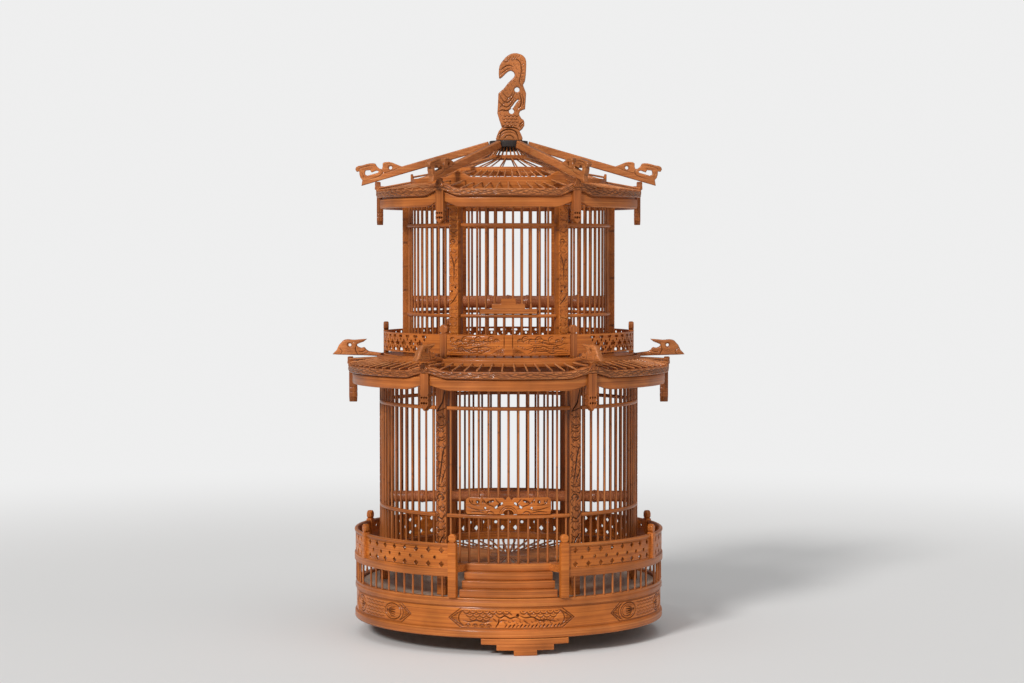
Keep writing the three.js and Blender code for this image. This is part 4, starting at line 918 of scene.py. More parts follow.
bottom_section = box_section(drum_inner, base_radius, drum_bottom, skirt_bottom, 2.2)
bottom_rim = ring("bottom_rim", bottom_section, hoop_finish, pitch=1.5)
bead_inner = base_radius - 9.0
bead_outer = base_radius - 0.5
top_rim = ring("top_rim", rounded([
    (bead_inner, skirt_top - 2), (bead_outer - 2.2, skirt_top - 2), (bead_outer - 2.2, skirt_top + 0.6),
    (bead_outer, skirt_top + 0.6), (bead_outer, drum_top - 4.2), (bead_outer - 1.0, drum_top - 3.6),
    (bead_outer - 1.0, drum_top), (bead_inner, drum_top)], 0.9), hoop_finish, pitch=1.5)
settle(joined("base_rims", [bottom_rim, top_rim]), "bamboo")

deck = round_board("deck", bead_inner - clearance, deck_bottom, deck_top, 0.5, deck_finish)
settle(deck, "deck_board", "deck_board")

# %% [markdown]
# ## The balustrade
# A low rail on turned balusters carries seven fretwork panels between plain newels.
# It leaves a gap for the stair in front.
# Each panel is sawn from one drawing: two rows of four-pointed stars and a row of round holes.
# %% Rails
panel_count = 7
stair_half_angle = 20.1
panel_angle = (360 - 2 * stair_half_angle) / panel_count
rail_outer = base_radius + 0.5
rail_depth, roll_depth = 5.5, 4.5
baluster_height, rail_height, fret_height, roll_height = 24.4, 9.8, 25.5, 4.0
rail_bottom = drum_top + baluster_height
fret_bottom = rail_bottom + rail_height
fret_top = fret_bottom + fret_height
balustrade_top = fret_top + roll_height
rail_from, rail_to = stair_half_angle, 360 - stair_half_angle
rail_section = box_section(rail_outer - rail_depth, rail_outer, rail_bottom, fret_bottom, 1.3)
roll_section = box_section(rail_outer - roll_depth, rail_outer, fret_top, balustrade_top, 1.9)
low_rail = ring("low_rail", rail_section, hoop_finish, rail_from, rail_to, pitch=1.5)
top_roll = ring("top_roll", roll_section, hoop_finish, rail_from, rail_to, pitch=1.5)
settle(joined("balustrade_rails", [low_rail, top_roll]), "bamboo",
       "balustrade_right", "balustrade_rear", "balustrade_left")

# %% Fretwork panels
fret_thickness = 3.0
fret_radius = base_radius - 2.2
panel_half = math.radians(panel_angle / 2) * fret_radius - 3.6
star_count = 8
star_pitch = 17.5
star_reach_x, star_reach_y, star_waist = 3.2, 3.6, 1.65
star_row_shares = (0.82, 0.18)
hole_row_share = 0.48
hole_radius = 2.1
groove_inset = 1.4


def board_outline(half, bottom, top):
    """The outline of a plain board, centred on the drawing."""
    return [(-half, bottom), (half, bottom), (half, top), (-half, top)]


def star(x, y):
    """A four-pointed hole with hollow sides."""
    corners = ((star_reach_x, 0), (star_waist, star_waist), (0, star_reach_y), (-star_waist, star_waist))
    return [(x + side * across, y + side * up) for side in (1, -1) for across, up in corners]


fret_drawing = [board_outline(panel_half, fret_bottom - lap, fret_top + lap)]
for i in range(star_count):
    x = (i - (star_count - 1) / 2) * star_pitch
    for share in star_row_shares:
        fret_drawing.append(star(x, fret_bottom + share * fret_height))
    if i:
        fret_drawing.append(circle(x - star_pitch / 2, fret_bottom + hole_row_share * fret_height,
                                   hole_radius, 12))
fret_lines = [([(-panel_half, height), (panel_half, height)], 1.4, 0.9)
              for height in (fret_bottom + groove_inset, fret_top - groove_inset)]
fret = carved("fret", fret_drawing, fret_lines, fret_thickness, bent(fret_radius), board_finish, cell=0.68,
              ease=0.4)
frets = turned_copies("fretwork_panels", fret, panel_count, stair_half_angle + panel_angle / 2, panel_angle)
settle(frets, "bamboo")

# %% Newels and balusters
rail_newel_width, stair_newel_width, newel_depth = 9.4, 10.4, 7.5
newel_finial = {"width": 9.9, "height": 10.8, "thickness": 6.8}
newel_circle = base_radius - 1.25


def finial(name, circle_radius, base, width, height, thickness):
    """A flat eight-sided finial that faces outwards, on a thin cap."""
    shares = ((-0.42, 0), (0.42, 0), (1, 0.28), (1, 0.72), (0.42, 1), (-0.42, 1), (-1, 0.72), (-1, 0.28))
    outline = [(x * width / 2, base + 0.8 + y * height) for x, y in shares]
    knob = carved(name, [outline], [], thickness, facing(circle_radius), post_finish, cell=0.7, ease=1.6,
                  both=True)
    cap = block("cap", 0.94 * width, circle_radius - thickness / 2, circle_radius + thickness / 2, base - lap,
                base + 1.4, post_finish, ease=0.4)
    return [knob, cap]


def newel(name, bottom, width):
    """A plain flat newel with its finial."""
    body = block("strap", width, newel_circle - newel_depth / 2, newel_circle + newel_depth / 2, bottom,
                 balustrade_top, board_finish, ease=0.8)
    return joined(name, [body] + finial("knob", newel_circle, balustrade_top, **newel_finial))


rail_newels = turned_copies("rail_newels", newel("rail_newel", fret_bottom - lap, rail_newel_width),
                            panel_count - 1, stair_half_angle + panel_angle, panel_angle)
stair_newels = turned_copies("stair_newels", newel("stair_newel", drum_top + clearance, stair_newel_width), 2,
                             -stair_half_angle, 2 * stair_half_angle)
settle(joined("newels", [rail_newels, stair_newels]), "carved_bamboo")

balusters_per_panel = 10
baluster_circle = base_radius - 2.4
baluster_radius, baluster_belly, baluster_neck = 1.5, 1.3, 1.15
foot_z, head_z = drum_top, rail_bottom + lap
baluster_profile = [(0, foot_z), (baluster_radius, foot_z), (baluster_radius, foot_z + 1.6),
                    (baluster_neck, foot_z + 2.2), (baluster_belly, (foot_z + head_z) / 2),
                    (baluster_neck, head_z - 2.2), (baluster_radius, head_z - 1.6), (baluster_radius, head_z),
                    (0, head_z)]
baluster = lathe("baluster", baluster_profile, post_finish, (0, -baluster_circle, 0), sides=10)
baluster_pitch = panel_angle / (balusters_per_panel + 1)
panel_balusters = turned_copies("panel_balusters", baluster, balusters_per_panel,
                                -baluster_pitch * (balusters_per_panel - 1) / 2, baluster_pitch)
balusters = turned_copies("balusters", panel_balusters, panel_count, stair_half_angle + panel_angle / 2,
                          panel_angle)
settle(balusters, "bamboo")

# %% [markdown]
# ## The stair
# Four boards climb from the drum to the lower door, each set back from the one below.
# Two cheek rails run from the top board out to the newels.
# %% Stair
bar_circle = base_radius - 34.0
post_outer = bar_circle + 3.0
stair_back = bar_circle + 3.6
step_width_shares = (1.0, 0.95, 0.905, 0.865)
step_height = 9.4
step_nosing, step_tread, step_gap = 4.5, 7.0, 0.5
newel_inner = base_radius - newel_depth
stair_width = 2 * newel_inner * math.sin(math.radians(stair_half_angle)) - rail_newel_width
steps = []
for step, share in enumerate(step_width_shares):
    front = stair_back + step_nosing + (len(step_width_shares) - 1 - step) * step_tread
    half = math.degrees(share * stair_width / 2 / front)
    bottom = drum_top + clearance + step * step_height + (step_gap if step else 0.0)
    top = drum_top + (step + 1) * step_height
    board_section = box_section(stair_back, front, bottom, top, 1.0)
    steps.append(ring("step", board_section, hoop_finish, -half, half, 1.0))
    if step:
        riser_section = box_section(stair_back + 0.6, front - 1.2, bottom - 2, bottom + 1)
        steps.append(ring("riser", riser_section, hoop_finish, -half * 0.98, half * 0.98, 1.0))
sill_rise, sill_height, sill_depth = 31.0, 9.5, 12.0
sill_bottom = deck_top + sill_rise
sill_top = sill_bottom + sill_height
cheek_thickness, cheek_height = 4.0, 9.0
cheek_reach = newel_inner - clearance
top_edge, newel_edge = math.radians(half), math.radians(stair_half_angle)
for side in (-1, 1):
    start = Vector((side * stair_back * math.sin(top_edge), stair_back * math.cos(top_edge)))
    stop = Vector((side * cheek_reach * math.sin(newel_edge), cheek_reach * math.cos(newel_edge)))
    run = stop - start
    cheek = block("cheek", cheek_thickness, 0, run.length, sill_top - cheek_height, sill_top, hoop_finish,
                  ease=0.7, azimuth=math.degrees(math.atan2(run.x, run.y)))
    cheek.data.transform(Matrix.Translation(Vector((start.x, -start.y, 0)) * mm))
    steps.append(cheek)
settle(joined("stair_boards", steps), "bamboo", "stair")

# %% [markdown]
# ## The lower storey
# A sill ring on six short legs holds the bars, and two light hoops keep them apart.
# Six carved posts carry the eave.
# Round bars stand in six bays, thirteen to a bay.
# Nine of them, in front, are the door, and they ride on a body of their own.
# %% Sill, floor splints and hoops
sill_inner = post_outer - sill_depth
sill = ring("sill", box_section(sill_inner, post_outer, sill_bottom, sill_top, 1.2), hoop_finish)
leg = block("leg", sill_depth, sill_inner + clearance, post_outer - clearance, deck_top + clearance,
            sill_bottom + lap, hoop_finish)
legs = at_corners("legs", leg)
settle(joined("sill_ring", [sill, legs]), "bamboo", "lower_sill_ring")

floor_middle = sill_bottom - clearance - 1.5
floor_hub_radius, floor_hub_half = 24.0, 1.7
floor_ring_radii, floor_ring_width = (66.0, 108.0), 4.0
floor_splint_width, floor_splint_thickness = 3.0, 2.2
floor_splints = splints("floor_splints", 60, 3, 6, (floor_hub_radius - 3, floor_middle),
                        (sill_inner + 6, floor_middle), floor_splint_width, floor_splint_thickness,
                        splint_finish, wander=0.6, sides=6)
floor_rings = []
for radius in floor_ring_radii:
    section = box_section(radius, radius + floor_ring_width, floor_middle - 1.4, floor_middle - 0.2, 0.4)
    floor_rings.append(ring("floor_ring", section, splint_finish))
hub_base, hub_rim, hub_face = floor_middle - floor_hub_half, floor_middle + 1.2, floor_middle + floor_hub_half
floor_hub = lathe("floor_hub", [(0, hub_base), (floor_hub_radius, hub_base), (floor_hub_radius, hub_rim),
                                (floor_hub_radius - 1, hub_face), (0, hub_face)], splint_finish, sides=48)
settle(joined("floor_grille", [floor_splints, floor_hub] + floor_rings), "pale_bamboo", "lower_floor_grille")

post_width, post_depth = 15.0, 11.0
hoop_width = 5.5


def bay_hoops(name, circle_radius, levels, height, beside):
    """The light hoops that keep a storey's bars apart, stopped against the posts beside each bay."""
    inner, outer = circle_radius - hoop_width / 2, circle_radius + hoop_width / 2
    reach = first_corner - math.degrees(math.asin((beside / 2 + clearance) / inner))
    pieces = []
    for level in levels:
        section = box_section(inner, outer, level - height / 2, level + height / 2, 1.6)
        pieces.append(ring("hoop", section, hoop_finish, -reach, reach))
    return turned_copies(name, joined("hoop_pair", pieces), corner_count, 0, sector)


lower_hoop_levels = (sill_top + 55.5, lower_bar_top - 28.0)
lower_hoops = bay_hoops("lower_hoops", bar_circle, lower_hoop_levels, height=4.5, beside=post_width)
settle(lower_hoops, "bamboo")

# %% Bars of the lower storey
lower_pitch = 360 / 84
lower_bay_count, lower_door_count = 13, 9
bar_thickness = 2.7


def bar_run(name, circle_radius, bottom, top, pitch, first, count):
    """A run of round bars that stand on a circle, from one azimuth on."""
    return splints(name, count, first, pitch, (circle_radius, bottom), (circle_radius, top), bar_thickness,
                   bar_thickness, bar_finish, sides=10, steps=2)


def standing_bars(name, circle_radius, bottom, top, pitch, count, door_count):
    """A storey's fixed bars: five full bays, and the bars on each side of the door in front."""
    wall = (circle_radius, bottom, top, pitch)
    first = -(count - 1) / 2 * pitch
    runs = [bar_run(name, *wall, bay * sector + first, count) for bay in range(1, corner_count)]
    for start in (first, (door_count + 1) / 2 * pitch):
        runs.append(bar_run(name, *wall, start, (count - door_count) // 2))
    return runs


def door_bars(name, circle_radius, bottom, top, pitch, door_count):
    """The bars that slide with a door, in the middle of the front bay."""
    return bar_run(name, circle_radius, bottom, top, pitch, -(door_count - 1) / 2 * pitch, door_count)


lower_wall = (bar_circle, lower_bar_bottom, lower_bar_top, lower_pitch)
lower_runs = standing_bars("lower_bay", *lower_wall, lower_bay_count, lower_door_count)
settle(joined("lower_bars", lower_runs), "pale_bamboo", *[f"lower_bars_{bay}" for bay in bay_names])

# %% Perches
def perch(name, reach, thickness, height):
    """A reddish bamboo whip with swollen nodes, from wall to wall."""
    radius = thickness / 2
    profile = [(0, -reach), (radius - 0.6, -reach), (radius, -reach + 0.8)]
    knots = np.linspace(-reach, reach, 9)[1:-1] + np.array([5, -9, 7, 0, -6, 8, -4])
    swelling = ((-9, 0.0), (-3, 0.2), (-1.4, 1.1), (-0.5, 1.2), (0, 0.5), (0.6, 0.9), (3, 0.1), (9, -0.2))
    for knot in knots:
        profile += [(radius + grown - 0.2, knot + away) for away, grown in swelling]
    profile += [(radius, reach - 0.8), (radius - 0.6, reach), (0, reach)]
    made = lathe(name, profile, whip_finish, sides=20)
    turn = Matrix.Rotation(math.radians(90), 4, "Y")
    made.data.transform(Matrix.Translation((0, 0, height * mm)) @ turn)
    return made


lower_whip = perch("lower_whip", post_outer - post_depth - clearance, thickness=14.2, height=sill_top + 63.4)
settle(lower_whip, "dark_whip", "lower_perch")

# %% Lower posts
def curls(half, bottom, top, count, cut):
    """Small leaves that overlap down a post: each is a crescent, a vein and a nick at the edge."""
    strokes = []
    for k in range(count):
        height = bottom + (top - bottom) * (k + 0.5) / count
        side, size = (1 if k % 2 else -1), 2.4 + 0.5 * (k % 3)
        x, turn = side * half * (0.3 + 0.13 * (k % 3)), 80 * side + 28 * (k % 4)
        vein = soft_line([(x - 1.8 * side, height + 2.6), (x, height + 0.4), (x + 1.5 * side, height - 1.9)])
        strokes += [(arc(x, height, size, 90 + turn, 270 + turn, 7), cut, 0.6 * cut),
                    (vein, 0.8 * cut, 0.5 * cut),
                    ([(-side * half, height + 1.2), (-side * (half - 2.6), height - 0.8)], cut, 0.6 * cut)]
    return strokes


def lower_carving(bottom, top):
    """Leaves, crescents, a scroll and curls, as they come down the front of a lower post."""
    at = lambda share: bottom + share * (top - bottom)
    strokes = traced((
        (1.5, 0.8, ((5.5, 0.66), (2, 0.6), (-1, 0.5), (-3, 0.44))),
        (1.2, 0.7, ((6, 0.52), (3, 0.48), (0, 0.44))),
        (1.0, 0.5, ((-6, 0.62), (-4, 0.55), (-6, 0.48))),
        (1.3, 0.7, ((5.5, 0.27), (1, 0.24), (-4, 0.25), (-5.5, 0.22))),
        (1.0, 0.6, ((-5, 0.2), (-1, 0.175), (4.5, 0.19))),
        (1.4, 0.8, ((5.5, 0.155), (0, 0.12), (-4.5, 0.07))),
        (1.0, 0.5, ((-6, 0.15), (-4, 0.12), (-6, 0.09)))), in_shares(1, top - bottom, 0, bottom))
    for share in (0.78, 0.765, 0.71, 0.695):
        strokes.append((arc(0, at(share) + 3, 5.5, 205, 335, 7), 1.0, 0.6))
    strokes += [([(5.5, at(0.97)), (2, at(0.9)), (-5.5, at(0.85))], 1.6, 0.9),
                ([(6.5, at(0.96)), (6.8, at(0.87)), (-5, at(0.85))], 1.1, 0.6),
                ([(-6.5, at(0.43)), (0, at(0.42)), (6.5, at(0.43))], 1.1, 0.6),
                (arc(-1, at(0.36), 4.2, -60, 250, 12), 1.2, 0.7),
                (arc(0.5, at(0.355), 1.9, -100, 200, 8), 1.0, 0.6),
                (arc(2, at(0.3), 3.4, 90, 400, 12), 1.0, 0.6)]
    return strokes + curls(6.6, at(0.03), at(0.84), 38, 0.95)


def upper_carving(bottom, top):
    """A scroll, a forked leaf and fine shallow curls, with plain wood at the foot."""
    at = lambda share: bottom + share * (top - bottom)
    strokes = traced((
        (1.3, 0.7, ((0.4, 0.5), (0.6, 0.58), (-1.6, 0.64), (-4.2, 0.67))),
        (1.1, 0.6, ((0.6, 0.58), (2.6, 0.63), (4.6, 0.64))),
        (1.3, 0.7, ((5, 0.41), (0, 0.37), (-4.8, 0.345)))), in_shares(1, top - bottom, 0, bottom))
    strokes += [([(-5.6, at(0.83)), (0, at(0.815)), (5.6, at(0.83))], 1.0, 0.5),
                (arc(-1.5, at(0.755), 3.2, -60, 240, 10), 1.1, 0.6),
                (arc(-1, at(0.75), 1.4, -90, 200, 7), 0.9, 0.5),
                (arc(2.4, at(0.455), 0.5, 0, 360, 6), 1.4, 0.9),
                (arc(-2.4, at(0.43), 0.5, 0, 360, 6), 1.4, 0.9)]
    return strokes + curls(5.4, at(0.12), at(0.98), 32, 0.72)


def carved_post(name, width, depth, outer, bottom, top, carving, finish):
    """A carved post on each corner."""
    outline = board_outline(width / 2, bottom, top)
    strokes = bolder(carving(bottom, top), 1.65, 1.85)
    post = carved(name, [outline], strokes, depth, facing(outer - depth / 2), finish, cell=0.58, ease=1.0)
    return at_corners(name, post)


lower_posts = carved_post("lower_posts", post_width, post_depth, post_outer, post_bottom, post_top,
                          lower_carving, post_finish)
settle(lower_posts, "carved_bamboo", *[f"lower_post_{corner}" for corner in corner_names])

# %% [markdown]
# ## The lower door
# The door is nine of the front bars, held together by a pierced plate.
# It slides up between its neighbours.
# The plate is one drawing: two round-ended halves, a bud between them and an arch under the bud.
# %% Lower door
def long_hole(start, end, width):
    """A round-ended hole from one point to another."""
    start, end = np.asarray(start, float), np.asarray(end, float)
    heading = math.degrees(math.atan2(end[1] - start[1], end[0] - start[0]))
    return np.vstack([arc(*end, width / 2, heading - 90, heading + 90, 5),
                      arc(*start, width / 2, heading + 90, heading + 270, 5)])


def on_both_sides(drawings):
    """Each drawing and its mirror image."""
    return [moved(points, mirror=flip) for points in drawings for flip in (False, True)]


plate_thickness = 4.5
plate_side = 4.4
door_reach = (lower_door_count - 1) / 2 * lower_pitch
half = bar_circle * math.sin(math.radians(door_reach)) + plate_side
base, high = lower_hoop_levels[0] + 2.6, 22.0
on_plate = in_shares(half, high, 0, base)
plate_edge = [(half - 1.5, base), (half, base + 3), (half, base + 0.8 * high),
              (half - 3.5, base + 0.93 * high)]
plate_edge += on_plate([(0.12, 0.92), (0.07, 0.8), (0.035, 0.93)]).tolist()
arch = arc(0, base - 0.4, 6.4, 10, 170, 12)
plate_outline = (plate_edge + [(0.0, base + high)] + [(-x, y) for x, y in reversed(plate_edge)]
                 + [tuple(p) for p in arch[::-1]])
plate_holes = on_both_sides([
    circle(*on_plate((0.71, 0.68)), 2.0, 12),
    long_hole(*on_plate([(0.47, 0.66), (0.36, 0.76)]), 2.6),
    long_hole(*on_plate([(0.3, 0.38), (0.15, 0.63)]), 2.4),
    circle(*on_plate((0.54, 0.36)), 1.4, 10)])
plate_lines = on_both_sides([
    soft_line(on_plate([(0.97, 0.42), (0.8, 0.3), (0.62, 0.24), (0.42, 0.3)])),
    soft_line(on_plate([(0.62, 0.9), (0.5, 0.6), (0.36, 0.45), (0.2, 0.3)])),
    soft_line(on_plate([(0.92, 0.8), (0.84, 0.55), (0.66, 0.5)])),
    soft_line(on_plate([(0.3, 0.88), (0.24, 0.7), (0.12, 0.5)])),
    soft_line(on_plate([(0.9, 0.12), (0.7, 0.16), (0.5, 0.06)])),
    arc(0.42 * half, base - 1, 5.0, 20, 160, 8)])
plate_strokes = [(line, 1.1, 0.7) for line in plate_lines]
plate_strokes += [(arc(0, base - 0.4, r, 12, 168, 12), 1.0, 0.6) for r in (8.6, 10.8)]
plate_strokes += [(moved([(0, -1.2), (0, 1.2)], side * x * half, base + 0.7 * high), 1.1, 0.9)
                  for side in (-1, 1) for x in (0.9, 0.84, 0.6, 0.56)]
plate = carved("plate", [plate_outline] + plate_holes, bolder(plate_strokes, 1.5, 1.5), plate_thickness,
               bent(bar_circle + plate_thickness / 2), board_finish, cell=0.5, ease=0.8)
lower_door_run = door_bars("door_bars", *lower_wall, lower_door_count)
settle(joined("lower_door_bars", [lower_door_run]), "pale_bamboo", "lower_door", body="lower_door")
settle(joined("lower_door_plate", [plate]), "carved_bamboo", body="lower_door")

# %% [markdown]
# ## Lower eave and roof
# The eave is a hoop that rises to a point over each post, with a fascia under it.
# A drilled pendant hangs at each corner, and six carved birds look out over them.
# Thin splints run up from the eave to a band round the gallery.
# %% Lower eave
lower_lift = 5.9
fascia_thickness = 5.0
arm_width, leaf_thickness = 10.0, 7.0
head_height, eave_height = 8.7, 8.6
eave_bottom = lower_bar_top + head_height
eave_top = eave_bottom + eave_height


def eave_hoops(radius, setback, fascia_height, bottom, lip_bottom, lip_top, lift):
    """The eave's carved lip, the fascia that hangs under it, and the dark gap between them."""
    outer = radius - setback
    inner = outer - fascia_thickness

    def waves(azimuth, height):
        """Depth and painted groove shade of the lip's carving: three wavy lines, and short cuts that lean."""
        depth = 0.0
        for k, share in enumerate((0.26, 0.5, 0.74)):
            wave = np.sin(azimuth * (1.1 + 0.17 * k) + 2 * k) + 0.6 * np.sin(azimuth * 2.3 + k)
            level = lip_bottom + share * (lip_top - lip_bottom) + 0.8 * wave
            depth = np.maximum(depth, 0.75 * np.clip(1 - np.abs(height - level) / 0.75, 0, 1))
        leaning = np.abs(np.mod(azimuth + 0.25 * (height - lip_bottom), 3.1) - 1.55) / 0.22
        depth = np.maximum(depth, 0.6 * np.clip(1 - leaning, 0, 1))
        return depth, np.clip(depth / 0.8, 0, 1)

    bevel = 1.2
    face = [(radius, height) for height in np.linspace(lip_bottom + bevel, lip_top - bevel, 13)]
    section = [(inner, lip_bottom), (radius - bevel, lip_bottom)] + face
    section += [(radius - bevel, lip_top), (inner, lip_top)]
    lip = ring("lip", section, eave_finish, pitch=0.4, lift=lift, carve=waves)
    neck = ring("neck", box_section(inner, outer - 2.4, bottom - 3, lip_bottom + 1), hoop_finish, pitch=1.0,
                lift=lift)
    board = ring("fascia", box_section(inner, outer, bottom - fascia_height, bottom - 0.6, 1.4),
                 hoop_finish, pitch=1.0, lift=lift)
    return lip, joined("fascia_and_neck", [board, neck])


def pendant(width, height, depth, outer, top, strap):
    """A pendant: a strap, a block with six drilled holes and notched sides, and a pointed foot."""
    half = width / 2
    shares = [(-1, 0.53), (-0.86, 0.49), (-1, 0.45), (-1, 0.365), (-0.86, 0.335), (-1, 0.305), (-0.98, 0.18),
              (-0.5, 0.09), (0, 0)]
    side = [(-half, top + strap)] + [(x * half, top - height + y * height) for x, y in shares]
    outline = side + [(-x, y) for x, y in reversed(side[:-1])]
    holes = [circle(0.56 * column * half, top - height + share * height, radius, 10)
             for column, share, radius in ((-1, 0.41, 1.2), (-1, 0.24, 1.2), (0, 0.41, 1.2), (0, 0.24, 1.5),
                                           (1, 0.41, 1.2), (1, 0.24, 1.2))]
    strokes = [([(-half, top - 0.55 * height), (half, top - 0.55 * height)], 0.8, 0.4)]
    return carved("pendant", [outline] + holes, strokes, depth, facing(outer - depth / 2), post_finish,
                  cell=0.5, ease=0.6)


def corner_leaf(name, outer, bottom, top):
    """A small carved leaf that grows out of a lifted corner of the lip, up to the head above it."""
    tall = top - bottom
    side = [(6.6, bottom), (6.4, bottom + 0.25 * tall), (4.4, bottom + 0.45 * tall),
            (3.0, bottom + 0.7 * tall), (2.6, top)]
    outline = [(0, bottom)] + side + [(-x, y) for x, y in reversed(side)]
    strokes = []
    for x in (-4.6, -1.6, 1.6, 4.6):
        vein = [(x, bottom + 0.1 * tall), (0.6 * x, bottom + 0.45 * tall), (0.4 * x, top - 0.1 * tall)]
        strokes.append((soft_line(vein), 1.4, 0.8))
    return carved(name, [outline], strokes, leaf_thickness, facing(outer - leaf_thickness / 2), post_finish,
                  cell=0.5, ease=1.2)


def head_and_arms(head_outer, head_width, arm_reach, bottom, top):
    """The ring inside the bars that takes the roof's load, and six arms from it to the fascia."""
    section = box_section(head_outer - head_width, head_outer, bottom, top, 1.0)
    head_ring = ring("head", section, hoop_finish)
    arm = block("arm", arm_width, head_outer - 1, arm_reach, bottom, top, hoop_finish)
    return [head_ring, at_corners("arms", arm)]


lip, board = eave_hoops(lower_eave_radius, setback=5.0, fascia_height=14.0, bottom=eave_bottom,
                        lip_bottom=eave_bottom + lap, lip_top=eave_top, lift=lower_lift)
bearers = head_and_arms(bar_circle - 2.0, 7.0, lower_eave_radius - 9, lower_bar_top, eave_bottom)
settle(joined("lower_eave_lip", [lip]), "bamboo", "lower_eave")
settle(joined("lower_fascia", [board] + bearers), "bamboo")

lower_leaf = corner_leaf("lower_leaf", lower_eave_radius + 1.2, eave_bottom + lower_lift + 3.5,
                         eave_top + 9.7)
lower_pendant = pendant(width=11.6, height=38.5, depth=9.8, outer=lower_eave_radius - 0.9, top=eave_bottom,
                        strap=lower_lift)
settle(joined("lower_pendants", [at_corners("lower_leaves", lower_leaf),
                                 at_corners("pendants", lower_pendant)]), "carved_bamboo")

# %% Lower roof
band_thickness, band_height = 3.4, 8.5
band_inner = post_outer
band_bottom = eave_top + 4.6
band_top = band_bottom + band_height
band_section = box_section(band_inner, band_inner + band_thickness, band_bottom, band_top, 1.1)
band = ring("band", band_section, hoop_finish)
settle(joined("lower_roof_band", [band]), "bamboo")
roof_splint_count, roof_splint_width = 84, 2.0
roof_pitch = 360 / roof_splint_count
splint_foot = (lower_eave_radius - 1.8, eave_top + 1.5)
splint_head = (band_inner + band_thickness / 2, band_top - 4.5)
lower_splints = splints("lower_roof_splints", roof_splint_count, roof_pitch / 2, roof_pitch, splint_foot,
                        splint_head, roof_splint_width, roof_splint_width, splint_finish,
                        lifts=(lower_lift, 0.0), wander=0.5)
settle(joined("lower_roof_splints", [lower_splints]), "pale_bamboo", "lower_roof")

# %% Bird heads
bird_root = band_inner - 2.0
bird_reach = lower_eave_radius + 20.0 - bird_root
bird_bottom, bird_height, bird_thickness = eave_top + 10.0, 21.8, 8.0
bird_shares = [
    (0, 0), (0.32, 0.05), (0.87, 0.09), (1, 0.11), (0.955, 0.25), (0.91, 0.38), (0.885, 0.55), (0.86, 0.68),
    (0.82, 0.79), (0.79, 0.89), (0.754, 0.945), (0.70, 0.972), (0.654, 0.97), (0.60, 0.95), (0.543, 0.945),
    (0.42, 0.975), (0.289, 1), (0.362, 0.835), (0.441, 0.757), (0.497, 0.683), (0.5, 0.62), (0.472, 0.55),
    (0.418, 0.486), (0.39, 0.5), (0.362, 0.528), (0.335, 0.5), (0.308, 0.394), (0.275, 0.33), (0.246, 0.289),
    (0, 0.2)]
on_bird = in_shares(bird_reach, bird_height, bird_root, bird_bottom)
bird_eye = (0.644, 0.651)
bird_strokes = traced((
    (1.6, 1.1, ((0.5, 0.66), (0.53, 0.42), (0.5, 0.2), (0.47, 0.07))),
    (1.3, 0.8, ((0.31, 0.38), (0.36, 0.28), (0.43, 0.26), (0.47, 0.3))),
    (1.3, 0.8, ((0.25, 0.26), (0.32, 0.16), (0.4, 0.12), (0.46, 0.14))),
    (1.1, 0.6, ((0.3, 0.94), (0.42, 0.88), (0.54, 0.84), (0.6, 0.72))),
    (1.0, 0.5, ((0.36, 0.87), (0.46, 0.81), (0.53, 0.74))),
    (1.3, 0.8, ((0.87, 0.5), (0.8, 0.3), (0.84, 0.1))),
    (1.0, 0.5, ((0.58, 0.3), (0.66, 0.36), (0.74, 0.3))),
    (1.0, 0.5, ((0.57, 0.2), (0.66, 0.25), (0.76, 0.18))),
    (0.9, 0.6, ((0.99, 0.14), (0.92, 0.2), (0.84, 0.22)))), on_bird)
eye_x, eye_y = on_bird([bird_eye])[0]
bird_strokes.append((arc(eye_x, eye_y, 3.1, 0, 360, 16), 1.0, 0.6))
bird = carved("bird", [on_bird(bird_shares), circle(eye_x, eye_y, 1.9, 14)], bird_strokes,
              bird_thickness - 1.0, radial, rib_finish, cell=0.5, ease=1.8, both=True, swell=0.5)
settle(at_corners("bird_heads", bird), "carved_bamboo",
       *[f"bird_head_{corner}" for corner in corner_names])

# %% [markdown]
# ## The gallery
# A ring of low boards stands on the gallery floor, held by six posts with faceted finials.
# The front one is solid and carved with waves and clouds.
# The other five are pierced with rows of clover leaves.
# %% Gallery floor and posts
gallery_radius = bar_circle - 2.0
floor_bottom = gallery_floor_top - 6.0
gallery_disc = round_board("gallery_disc", gallery_radius, floor_bottom, gallery_floor_top, 0.6, hoop_finish)
gallery_block_width, gallery_block_depth = 12.6, 6.0
block_face = gallery_radius - clearance
gallery_block = block("gallery_block", gallery_block_width, block_face - gallery_block_depth, block_face,
                      eave_bottom + clearance, floor_bottom + lap, hoop_finish)
gallery_blocks = at_corners("gallery_blocks", gallery_block)
settle(joined("gallery_floor_board", [gallery_disc, gallery_blocks]), "bamboo", "gallery_floor")

gallery_base = gallery_floor_top + clearance
board_thickness = 3.0
board_bottom, board_top = gallery_floor_top + 4.5, gallery_base + 27.5
gallery_post_width, gallery_post_depth = 9.4, 6.0
gallery_finial = {"width": 11.6, "height": 11.0, "thickness": 6.2}
gallery_post_top = gallery_base + 27.0
post_circle = gallery_radius - gallery_post_depth / 2
shaft = block("shaft", gallery_post_width, gallery_radius - gallery_post_depth, gallery_radius, gallery_base,
              gallery_post_top, post_finish, ease=0.7)
gallery_post = joined("gallery_post",
                      [shaft] + finial("knob", post_circle, gallery_post_top, **gallery_finial))
settle(at_corners("gallery_posts", gallery_post), "carved_bamboo")

# %% Clover lattice
clover_count = 10
board_circle = gallery_radius - board_thickness / 2
bay_half = math.radians(first_corner) * board_circle - gallery_post_width / 2 + 0.4
clover_pitch = 15.1


